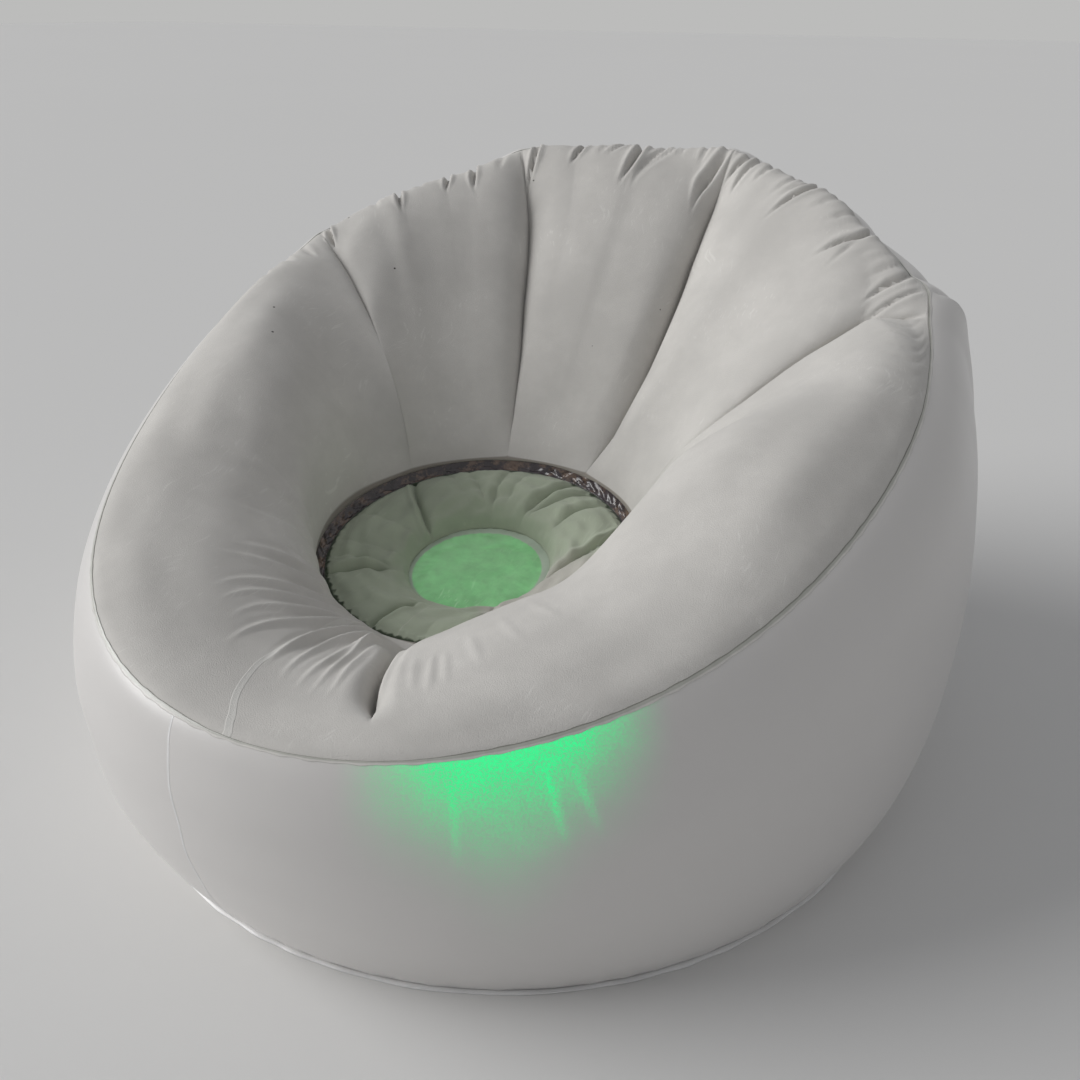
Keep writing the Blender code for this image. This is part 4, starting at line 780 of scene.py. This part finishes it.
seat_places = np.radians([240, 348, 306, 114, 28, 166, 155, 142])
seat_angles = even_angles(SEAT_COLUMNS, seat_places, 5.0, 0.9)
seat_t = np.linspace(0.0, 1.0, SEAT_ROWS)
seat_grid = seat_surface(*np.broadcast_arrays(seat_angles[:, None], seat_t[None, :]))
seat_piece = skin("flocked_seat", seat_grid, SEAT_SHEET, sheet_uv(seat_angles, seat_t))
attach(seat_piece, "chair")
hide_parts("seat_panel")

# %% [markdown]
# The window is a thin disc that the air pushes up into a low dome, fluted a little by its weld.

# %% The window
WINDOW_THICKNESS = 0.0008
top_radii = np.linspace(0.004, WINDOW_RADIUS + 0.004, 34)
radii = np.concatenate([top_radii, top_radii[::-4]])
thickness = np.where(np.arange(len(radii)) < len(top_radii), 0.0, WINDOW_THICKNESS)
angle, radius = np.broadcast_arrays(even_angles(200)[:, None], radii[None, :])
flutes = 0.0004 * np.sin(37 * angle + 1.7 * np.sin(5 * angle)) * ease(radius, 0.045, 0.090)
uneven = 0.0006 * ease(radius, 0.0, 0.06) * ripples(angle, 40 * radius, 21)
dome = WINDOW_DOME * (1 - (radius / WINDOW_RADIUS) ** 2) - WINDOW_DEPTH - thickness
pole = seat_point(np.zeros(1), np.zeros(1), np.array([WINDOW_DOME - WINDOW_DEPTH]))[0]
window_piece = capped("glowing_window", seat_point(angle, radius, dome + flutes + uneven),
                      pole, pole - WINDOW_THICKNESS * UP)
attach(window_piece, "chair")
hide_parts("seat_window")

# %% The clear band round the seat
angle, t = np.broadcast_arrays(even_angles(600)[:, None], np.linspace(0, 1, 16)[None, :])
crackle = 0.0014 * ripples(angle, 3 * t, 31, count=30, most_round=110, most_along=4.0)
ring_radius = RING_RADIUS - RING_WIDTH + t * (RING_WIDTH + 0.0018)
ring_lift = -RING_DROP * (1 - t) - (0.003 - crackle) * np.sin(np.pi * t)
ring_piece = skin("clear_band", seat_point(angle, ring_radius, ring_lift), THIN_SHEET, every=3)
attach(ring_piece, "chair")
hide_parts("clear_ring")

# %% [markdown]
# ## Finishes
#
# Nearly every finish has a cloudy change of colour over hand-sized patches, and a fine grain.
# They are one node group, placed in each material with its own values. The scuffs and specks of
# the flock are another.

# %% Helpers for shader nodes


def linear(red, green, blue):
    """A colour given as 0 to 255 on a screen, in the linear values that a shader takes."""
    c = np.array([red, green, blue]) / 255
    return (*np.where(c <= 0.04045, c / 12.92, ((c + 0.055) / 1.055) ** 2.4), 1.0)


def feed(made, **inputs):
    """Give a node its inputs by name or, as i0 and i1, by place. An input is a value, or the
    output of another node to join to it."""
    for name, value in inputs.items():
        key = int(name[1:]) if name[0] == "i" and name[1:].isdigit() else name.replace("_", " ")
        if isinstance(value, bpy.types.NodeSocket):
            made.id_data.links.new(value, made.inputs[key])
        else:
            made.inputs[key].default_value = value
    return made


def node(tree, kind, settings=None, **inputs):
    """A new shader node with its settings and inputs."""
    made = tree.nodes.new("ShaderNode" + kind)
    for name, value in (settings or {}).items():
        setattr(made, name, value)
    return feed(made, **inputs)


def maths(tree, operation, *values):
    """The output of a Math node."""
    places = {f"i{k}": value for k, value in enumerate(values)}
    return node(tree, "Math", {"operation": operation}, **places).outputs[0]


def times(tree, product, *values):
    """The product of values, by one Math node for each after the first."""
    for value in values:
        product = maths(tree, "MULTIPLY", product, value)
    return product


def bell_curve(tree, value, middle, width):
    """e to the minus square of a value's distance from the middle, in widths."""
    away = maths(tree, "DIVIDE", maths(tree, "SUBTRACT", value, middle), width)
    return maths(tree, "EXPONENT", times(tree, away, away, -1.0))


def ramp(tree, value, low, high, to_low=0.0, to_high=1.0):
    """A value carried from one range to another, smoothly, and kept inside it."""
    return node(tree, "MapRange", {"interpolation_type": "SMOOTHSTEP"}, Value=value, From_Min=low,
                From_Max=high, To_Min=to_low, To_Max=to_high).outputs[0]


def object_place(tree):
    """The place of a point on its object."""
    return node(tree, "TexCoord").outputs["Object"]


def noise(tree, where, scale, detail, roughness=0.5):
    """A noise pattern, about 0.5 on average."""
    return node(tree, "TexNoise", Vector=where, Scale=scale, Detail=detail,
                Roughness=roughness).outputs["Fac"]


def vector(tree, operation, **inputs):
    """The outputs of a Vector Math node."""
    return node(tree, "VectorMath", {"operation": operation}, **inputs).outputs


def mixed(tree, share, first, second):
    """Two colours mixed by a share from 0 to 1."""
    return node(tree, "Mix", {"data_type": "RGBA"}, i0=share, i6=first, i7=second).outputs[2]


def scaled(tree, colour, factor):
    """A colour made brighter by a factor."""
    return vector(tree, "SCALE", i0=colour, Scale=factor)[0]


def new_group(name, inputs, outputs):
    """An empty node group with named sockets; returns it with its input and output nodes."""
    group = bpy.data.node_groups.new(name, "ShaderNodeTree")
    for side, sockets in (("INPUT", inputs), ("OUTPUT", outputs)):
        for socket, kind in sockets.items():
            group.interface.new_socket(socket, in_out=side, socket_type="NodeSocket" + kind)
    return group, group.nodes.new("NodeGroupInput"), group.nodes.new("NodeGroupOutput")


# %% Group: clouds and grain
variation, given, gives = new_group(
    "clouds_and_grain",
    {"Colour": "Color", "Patch Size": "Float", "Patch Depth": "Float", "Grain Size": "Float"},
    {"Colour": "Color", "Patches": "Float", "Grain": "Float"})
where = object_place(variation)
patch_scale = maths(variation, "DIVIDE", 1.0, given.outputs["Patch Size"])
grain_scale = maths(variation, "DIVIDE", 1.0, given.outputs["Grain Size"])
patches = ramp(variation, noise(variation, where, patch_scale, 5.0, 0.66), 0.30, 0.70, -1.0, 1.0)
shade = maths(variation, "MULTIPLY_ADD", patches, given.outputs["Patch Depth"], 1.0)
feed(gives, Colour=scaled(variation, given.outputs["Colour"], shade), Patches=patches,
     Grain=noise(variation, where, grain_scale, 2.0))

# %% [markdown]
# Flock shows where it was rubbed: short pale strokes, all ways, and a few dark specks of dust. A
# stroke is noise stretched along one direction, cut off high, and kept only inside some patches.

# %% Group: scuffs and specks
scuffing, given, gives = new_group("scuffs_and_specks", {"Amount": "Float"},
                                   {"Scuffs": "Float", "Specks": "Float"})
where = object_place(scuffing)
sway = node(scuffing, "TexNoise", Vector=where, Scale=11.0, Detail=1.0).outputs["Color"]
swayed = vector(scuffing, "MULTIPLY_ADD", i0=sway, i1=(0.07, 0.07, 0.07), i2=where)[0]
strokes = 0.0
for turn, seed in ((0.6, 3.0), (-0.9, 8.0), (2.2, 15.0)):
    turned = node(scuffing, "Mapping", Vector=swayed, Rotation=(0.3 * seed, turn, 0.5 * turn),
                  Location=(seed, seed, seed), Scale=(300.0, 22.0, 90.0)).outputs[0]
    stroke = ramp(scuffing, noise(scuffing, turned, 1.0, 1.0), 0.66, 0.76)
    strokes = maths(scuffing, "MAXIMUM", strokes, stroke)
rubbed = ramp(scuffing, noise(scuffing, where, 9.0, 3.0), 0.44, 0.70)
dots = node(scuffing, "TexVoronoi", Vector=where, Scale=26.0)
near = ramp(scuffing, dots.outputs["Distance"], 0.030, 0.055, 1.0, 0.0)
chosen = node(scuffing, "SeparateXYZ", i0=dots.outputs["Color"]).outputs[0]
feed(gives, Scuffs=times(scuffing, strokes, rubbed, given.outputs["Amount"]),
     Specks=times(scuffing, near, ramp(scuffing, chosen, 0.90, 0.91)))

# %% A finish with clouds and grain


def finish(name, colour, roughness, patch=(0.06, 0.04), grain=(0.0006, 0.10), **inputs):
    """A Principled finish: patch is the clouds' size and depth, grain the bumps' size and
    strength. Returns the material, its tree, its shader and the clouds-and-grain node."""
    material = bpy.data.materials.new(name)
    material.use_nodes = True
    tree = material.node_tree
    made = node(tree, "Group", {"node_tree": variation}, Colour=colour, Patch_Size=patch[0],
                Patch_Depth=patch[1], Grain_Size=grain[0])
    bump = node(tree, "Bump", Strength=grain[1], Distance=0.001, Height=made.outputs["Grain"])
    uneven = ramp(tree, made.outputs["Patches"], -1.0, 1.0, roughness * 0.93,
                  min(roughness * 1.07, 1.0))
    shader = feed(tree.nodes["Principled BSDF"], Base_Color=made.outputs["Colour"],
                  Normal=bump.outputs["Normal"], Roughness=uneven, **inputs)
    return material, tree, shader, made


def paint(material, *pieces):
    """Give pieces a material, in place of what they had."""
    for piece in pieces:
        piece.data.materials.clear()
        piece.data.materials.append(material)


# %% [markdown]
# ## Flock
#
# Flock is a velvet of short fibres: nearly no gloss, a pale edge where it is seen at a slant,
# which the shader's sheen gives, and clouds where the fibres lie another way.

# %% Flock of the bucket and of the seat


def flock(name, colour, scuff_colour, depth, amount):
    """A flocked finish with its rubbed strokes and specks, and the colour that it has so far."""
    material, tree, shader, made = finish(
        name, colour, 0.93, patch=(0.11, depth), grain=(0.0011, 0.55), Sheen_Weight=0.22,
        Sheen_Roughness=0.45, Specular_IOR_Level=0.15)
    marks = node(tree, "Group", {"node_tree": scuffing}, Amount=amount)
    scuffed = mixed(tree, marks.outputs["Scuffs"], made.outputs["Colour"], scuff_colour)
    speckled = mixed(tree, marks.outputs["Specks"], scuffed, linear(60, 56, 52))
    return material, tree, feed(shader, Base_Color=speckled), speckled


def sheet_map(tree):
    """The two coordinates of a sheet's own map: degrees over 100, and the measure across it."""
    place = node(tree, "UVMap", {"uv_map": "sheet"}).outputs[0]
    return node(tree, "SeparateXYZ", i0=place).outputs[:2]


SCUFFED_GREY = linear(226, 224, 219)
grey_flock, tree, shader, coloured = flock("grey_flock", linear(203, 200, 195), SCUFFED_GREY,
                                           0.060, 0.50)
foot = ramp(tree, sheet_map(tree)[1], 0.012, 0.020, 1.0, 0.0)
feed(shader, Base_Color=mixed(tree, foot, coloured, linear(150, 144, 136)))
seam_flock = flock("seam_flock", linear(210, 208, 203), SCUFFED_GREY, 0.060, 0.50)[0]
# The seat's colour and its scuffs are tinted green: painted green light from the window below.
seat_flock, tree, shader, coloured = flock("green_lit_flock", linear(172, 180, 160),
                                           linear(200, 207, 190), 0.08, 0.35)
turn, share = sheet_map(tree)
# Between about 26 and 114 degrees round the seat the tint gives way to a plain grey, where this
# painted green light is left out.
outside_green_light = times(tree, ramp(tree, turn, 0.26, 0.36), ramp(tree, turn, 0.90, 1.14, 1.0, 0.0))
coloured = mixed(tree, outside_green_light, coloured, linear(196, 193, 184))
# A dark green-grey line, made uneven by noise, runs along the seat's outer edge: painted shade in
# the crimps of the weld where the seat meets the clear band.
edge_shade_reach = maths(tree, "MULTIPLY_ADD", noise(tree, object_place(tree), 120.0, 2.0), 0.05, share)
feed(shader, Base_Color=mixed(tree, ramp(tree, edge_shade_reach, 0.975, 1.005), coloured,
                              linear(66, 76, 60)))
paint(grey_flock, bucket_piece)
paint(seam_flock, bucket_seam)
paint(seat_flock, seat_piece)

# %% [markdown]
# ## Frosted wall
#
# The wall is pearly vinyl that lets the green light through below the front of the rim. That
# light is strongest close under the rim, grainy, and runs down in faint streaks. The sheet's own
# map says how far below the rim and how far round a point is, so the glow can be written from it.

# %% Frosted vinyl with its glow
frosted, tree, shader, made = finish(
    "pearly_vinyl", linear(213, 210, 207), 0.36, patch=(0.30, 0.015), grain=(0.0009, 0.06),
    Coat_Weight=0.25, Coat_Roughness=0.30, Sheen_Weight=0.10)
turn, drop = sheet_map(tree)
reach = times(tree, ramp(tree, turn, 0.110, 0.245), ramp(tree, turn, 0.305, 0.440, 1.0, 0.0))
depth = maths(tree, "MULTIPLY_ADD", bell_curve(tree, turn, 0.275, 0.055), 0.022, 0.050)
below = maths(tree, "POWER", maths(tree, "DIVIDE", drop, depth), 1.6)
fall = maths(tree, "EXPONENT", times(tree, below, -1.0))
lower = times(tree, ramp(tree, drop, 0.015, 0.045), ramp(tree, drop, 0.060, 0.115, 1.0, 0.0))
streaks = 0.0
for start, slant, strength in ((0.220, 0.07, 0.20), (0.299, 0.25, 0.32), (0.321, 0.36, 0.26)):
    middle = maths(tree, "MULTIPLY_ADD", drop, slant, start)
    streak = times(tree, bell_curve(tree, turn, middle, 0.0046), lower, strength)
    streaks = maths(tree, "ADD", streaks, streak)
where = object_place(tree)
blotchy = ramp(tree, noise(tree, where, 38.0, 3.0), 0.30, 0.70, 0.88, 1.12)
grainy = ramp(tree, noise(tree, where, 620.0, 1.0), 0.32, 0.68, 0.70, 1.30)
soft = times(tree, reach, fall, blotchy)
glow = times(tree, maths(tree, "MULTIPLY_ADD", streaks, reach, soft), grainy)
glow = maths(tree, "MINIMUM", glow, 1.1)
lit = mixed(tree, maths(tree, "MINIMUM", glow, 1.0), made.outputs["Colour"], linear(60, 150, 100))
light = scaled(tree, linear(38, 234, 134)[:3], times(tree, glow, 0.84))
feed(shader, Base_Color=lit, Emission_Color=light, Emission_Strength=1.0)
paint(frosted, wall_piece, bottom_piece)

# %% [markdown]
# ## Welds, clear vinyl and the window
#
# A weld is pressed clear of bubbles, so it is a little darker and glossier than the sheet, with a
# whitish outer edge where it was trimmed.

# %% Welded vinyl
welded, tree, shader, made = finish(
    "welded_edge", linear(196, 197, 190), 0.34, patch=(0.02, 0.06), grain=(0.0015, 0.15),
    Coat_Weight=0.3, Coat_Roughness=0.2)
across = sheet_map(tree)[1]
# Towards its inner edge, where it meets the bucket, the band darkens: painted shade of the groove
# there.
line = mixed(tree, ramp(tree, across, 0.06, 0.30), linear(120, 120, 112), linear(178, 178, 170))
banded = mixed(tree, ramp(tree, across, 0.50, 0.80), line, linear(214, 211, 206))
cloudy = maths(tree, "MULTIPLY_ADD", made.outputs["Patches"], 0.07, 1.0)
feed(shader, Base_Color=scaled(tree, banded, cloudy))
paint(welded, band_piece)
seam_finish = finish("welded_seam", linear(240, 239, 238), 0.30, patch=(0.03, 0.04),
                     grain=(0.0012, 0.12), Coat_Weight=0.3, Coat_Roughness=0.2)[0]
paint(seam_finish, wall_seam, hem_piece)

# %% Clear band: painted shade, dark for the unlit inside of the chair that shows through the clear vinyl
clear_band, tree, shader, made = finish(
    "clear_vinyl_painted_shade", linear(58, 50, 54), 0.24, patch=(0.02, 0.35), grain=(0.004, 0.3),
    Coat_Weight=0.35, Coat_Roughness=0.14)
# Noise breaks the painted dark into warmer patches and near-black patches.
inside = noise(tree, object_place(tree), 42.0, 4.0, 0.7)
warm = mixed(tree, ramp(tree, inside, 0.46, 0.62), made.outputs["Colour"], linear(112, 92, 80))
feed(shader, Base_Color=mixed(tree, ramp(tree, inside, 0.40, 0.30), warm, linear(24, 21, 24)))
paint(clear_band, ring_piece)

# %% Lit window
window_finish, tree, shader, made = finish(
    "glowing_vinyl", linear(136, 176, 134), 0.42, patch=(0.022, 0.12), grain=(0.0010, 0.10),
    Coat_Weight=0.25, Coat_Roughness=0.3)
where = object_place(tree)
off_centre = vector(tree, "SUBTRACT", i0=where, i1=(SEAT_X, SEAT_Y, 0.24))[0]
flat = vector(tree, "MULTIPLY", i0=off_centre, i1=(1.0, 1.01, 0.0))[0]
from_centre = vector(tree, "LENGTH", i0=flat)["Value"]
lit_part = ramp(tree, from_centre, 0.0845, 0.0870, 1.0, 0.0)
mottle = ramp(tree, noise(tree, where, 34.0, 5.0, 0.65), 0.30, 0.72, 0.62, 1.12)
# The window's colour turns paler towards one side, along minus x and a little back, and paler again
# where it is scuffed.
aside = vector(tree, "DOT_PRODUCT", i0=off_centre, i1=(-0.946, 0.325, 0.0))["Value"]
marks = node(tree, "Group", {"node_tree": scuffing}, Amount=0.6)
paler_side_and_scuffs = maths(tree, "MAXIMUM", ramp(tree, aside, -0.03, 0.10, 0.0, 0.45), marks.outputs["Scuffs"])
milky = mixed(tree, paler_side_and_scuffs, made.outputs["Colour"], linear(188, 208, 182))
specked = mixed(tree, marks.outputs["Specks"], milky, linear(40, 60, 40))
feed(shader, Base_Color=mixed(tree, lit_part, linear(186, 200, 182), specked),
     Emission_Color=scaled(tree, linear(62, 150, 78)[:3], times(tree, mottle, lit_part, 0.50)),
     Emission_Strength=1.0)
paint(window_finish, window_piece)

# %% [markdown]
# ## Finishes of the hard pieces
#
# The light unit, the valve and the sheets inside keep their solids, and get finishes of their own.

# %% Hard pieces and inner sheets
# Colour, roughness, size and depth of patches, size and strength of grain, coat, and how the
# names of its pieces begin
PLAIN = {
    "clear_film": (205, 210, 208, 0.15, 0.05, 0.04, 0.003, 0.12, 0.5, "centre_tube light_pocket"),
    "baffle_film": (206, 205, 202, 0.30, 0.08, 0.03, 0.002, 0.10, 0.2, "baffle"),
    "white_plastic": (214, 214, 210, 0.40, 0.03, 0.03, 0.0008, 0.12, 0.0,
                      "pocket_collar light_housing battery_door battery_tray"),
    "milky_lens": (226, 232, 226, 0.28, 0.03, 0.02, 0.0008, 0.05, 0.2, "light_lens"),
    "board_laminate": (28, 84, 52, 0.40, 0.01, 0.08, 0.0006, 0.15, 0.0, "light_board"),
    "led_resin": (214, 226, 150, 0.25, 0.003, 0.06, 0.0005, 0.06, 0.4, "light_led"),
    "cell_jacket": (58, 92, 72, 0.32, 0.01, 0.05, 0.0008, 0.05, 0.3,
                    "battery_1 battery_2 battery_3"),
    "spring_steel": (188, 186, 180, 0.28, 0.01, 0.05, 0.0004, 0.12, 0.0,
                     "input_contact link_contact output_contact door_screw"),
    "soft_rubber": (74, 78, 76, 0.60, 0.01, 0.06, 0.0006, 0.20, 0.0, "light_button valve_flap"),
    "switch_plastic": (40, 40, 42, 0.45, 0.006, 0.05, 0.0006, 0.12, 0.0, "light_switch"),
    "valve_vinyl": (206, 206, 203, 0.33, 0.012, 0.03, 0.0010, 0.10, 0.25,
                    "valve_body valve_strap valve_cap"),
}
MORE = {"spring_steel": {"Metallic": 1.0}, "valve_vinyl": {"Coat_Roughness": 0.2}}
finished = 0
for name, (*colour, roughness, size, depth, fine, strength, coat, starts) in PLAIN.items():
    material = finish(name, linear(*colour), roughness, (size, depth), (fine, strength),
                      Coat_Weight=coat, **MORE.get(name, {}))[0]
    for piece in [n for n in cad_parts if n.startswith(tuple(starts.split()))]:
        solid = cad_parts[piece]
        if not solid.material_slots:
            solid.data.materials.append(material)
        for slot in solid.material_slots:
            slot.material = material
        finished += 1
print("solids with a finish:", finished)

# %% [markdown]
# ## Stage
#
# The floor and the air around are plain and pale. The world lights everything evenly, and a broad
# soft sun from the left of the view shapes the lobes, as the window did for the photograph.

# %% Floor and world
BACKDROP, FLOOR_HALF, WORLD_STRENGTH = linear(188, 188, 187), 40.0, 0.37
floor_corners = FLOOR_HALF * np.array([(-1, -1, 0), (1, -1, 0), (1, 1, 0), (-1, 1, 0)])
floor_mesh = bpy.data.meshes.new("floor")
floor_mesh.from_pydata(floor_corners.tolist(), [], [(0, 1, 2, 3)])
floor = bpy.data.objects.new("floor", floor_mesh)
scene.collection.objects.link(floor)
paint(finish("pale_floor", linear(226, 225, 223), 0.9, patch=(5.0, 0.004), grain=(0.002, 0.02),
             Specular_IOR_Level=0.1)[0], floor)

world = bpy.data.worlds.new("soft_room")
scene.world = world
world.use_nodes = True
tree = world.node_tree
lighting = feed(tree.nodes["Background"], Color=linear(236, 238, 242),
                Strength=WORLD_STRENGTH)
seen = node(tree, "Background", Color=BACKDROP, Strength=1.0)
path = node(tree, "LightPath").outputs
direct = maths(tree, "MAXIMUM", path["Is Camera Ray"], path["Is Glossy Ray"])
direct = maths(tree, "MAXIMUM", direct, path["Is Transmission Ray"])
pick = node(tree, "MixShader", i0=direct, i1=lighting.outputs[0], i2=seen.outputs[0])
feed(tree.nodes["World Output"], Surface=pick.outputs[0])

# %% The sun, and a matrix for whatever looks at something
SUN_PLACE, SUN_ENERGY, SUN_DEGREES = np.array([-4.0, -1.4, 2.0]), 2.40, 45.0


def looking(place, back, roll=0.0):
    """A matrix at a place, with its back to a direction, and rolled about that."""
    back = unit(back)
    level = unit(np.cross(UP, back))
    right = np.cos(roll) * level + np.sin(roll) * np.cross(back, level)
    turn = np.eye(4)
    turn[:3] = np.stack([right, np.cross(back, right), back, place], 1)
    return Matrix(turn.tolist())


sun = bpy.data.lights.new("window_sun", "SUN")
sun.energy, sun.angle = SUN_ENERGY, np.radians(SUN_DEGREES)
sun_object = bpy.data.objects.new("window_sun", sun)
sun_object.matrix_world = looking(SUN_PLACE, SUN_PLACE)
scene.collection.objects.link(sun_object)

# %% [markdown]
# ## Camera
#
# The camera stands where the photographer stood: ahead and to the right of the chair, at standing
# height, looking down by 27 degrees. The place and the lens were worked out from the outline of
# the base and the rim.

# %% Camera
EYE = np.array([0.5776, -1.1020, 0.900])
HEADING = np.array([-0.4376, 0.8992, 0.0])
PITCH, ROLL = np.radians(-27.476), np.radians(0.614)
SENSOR, LENS = 36.0, 34.31
camera_data = bpy.data.cameras.new("camera")
camera_data.sensor_width, camera_data.lens = SENSOR, LENS
camera = bpy.data.objects.new("camera", camera_data)
camera.matrix_world = looking(EYE, -np.cos(PITCH) * HEADING - np.sin(PITCH) * UP, ROLL)
scene.collection.objects.link(camera)
scene.camera = camera
scene.view_settings.view_transform = "Standard"
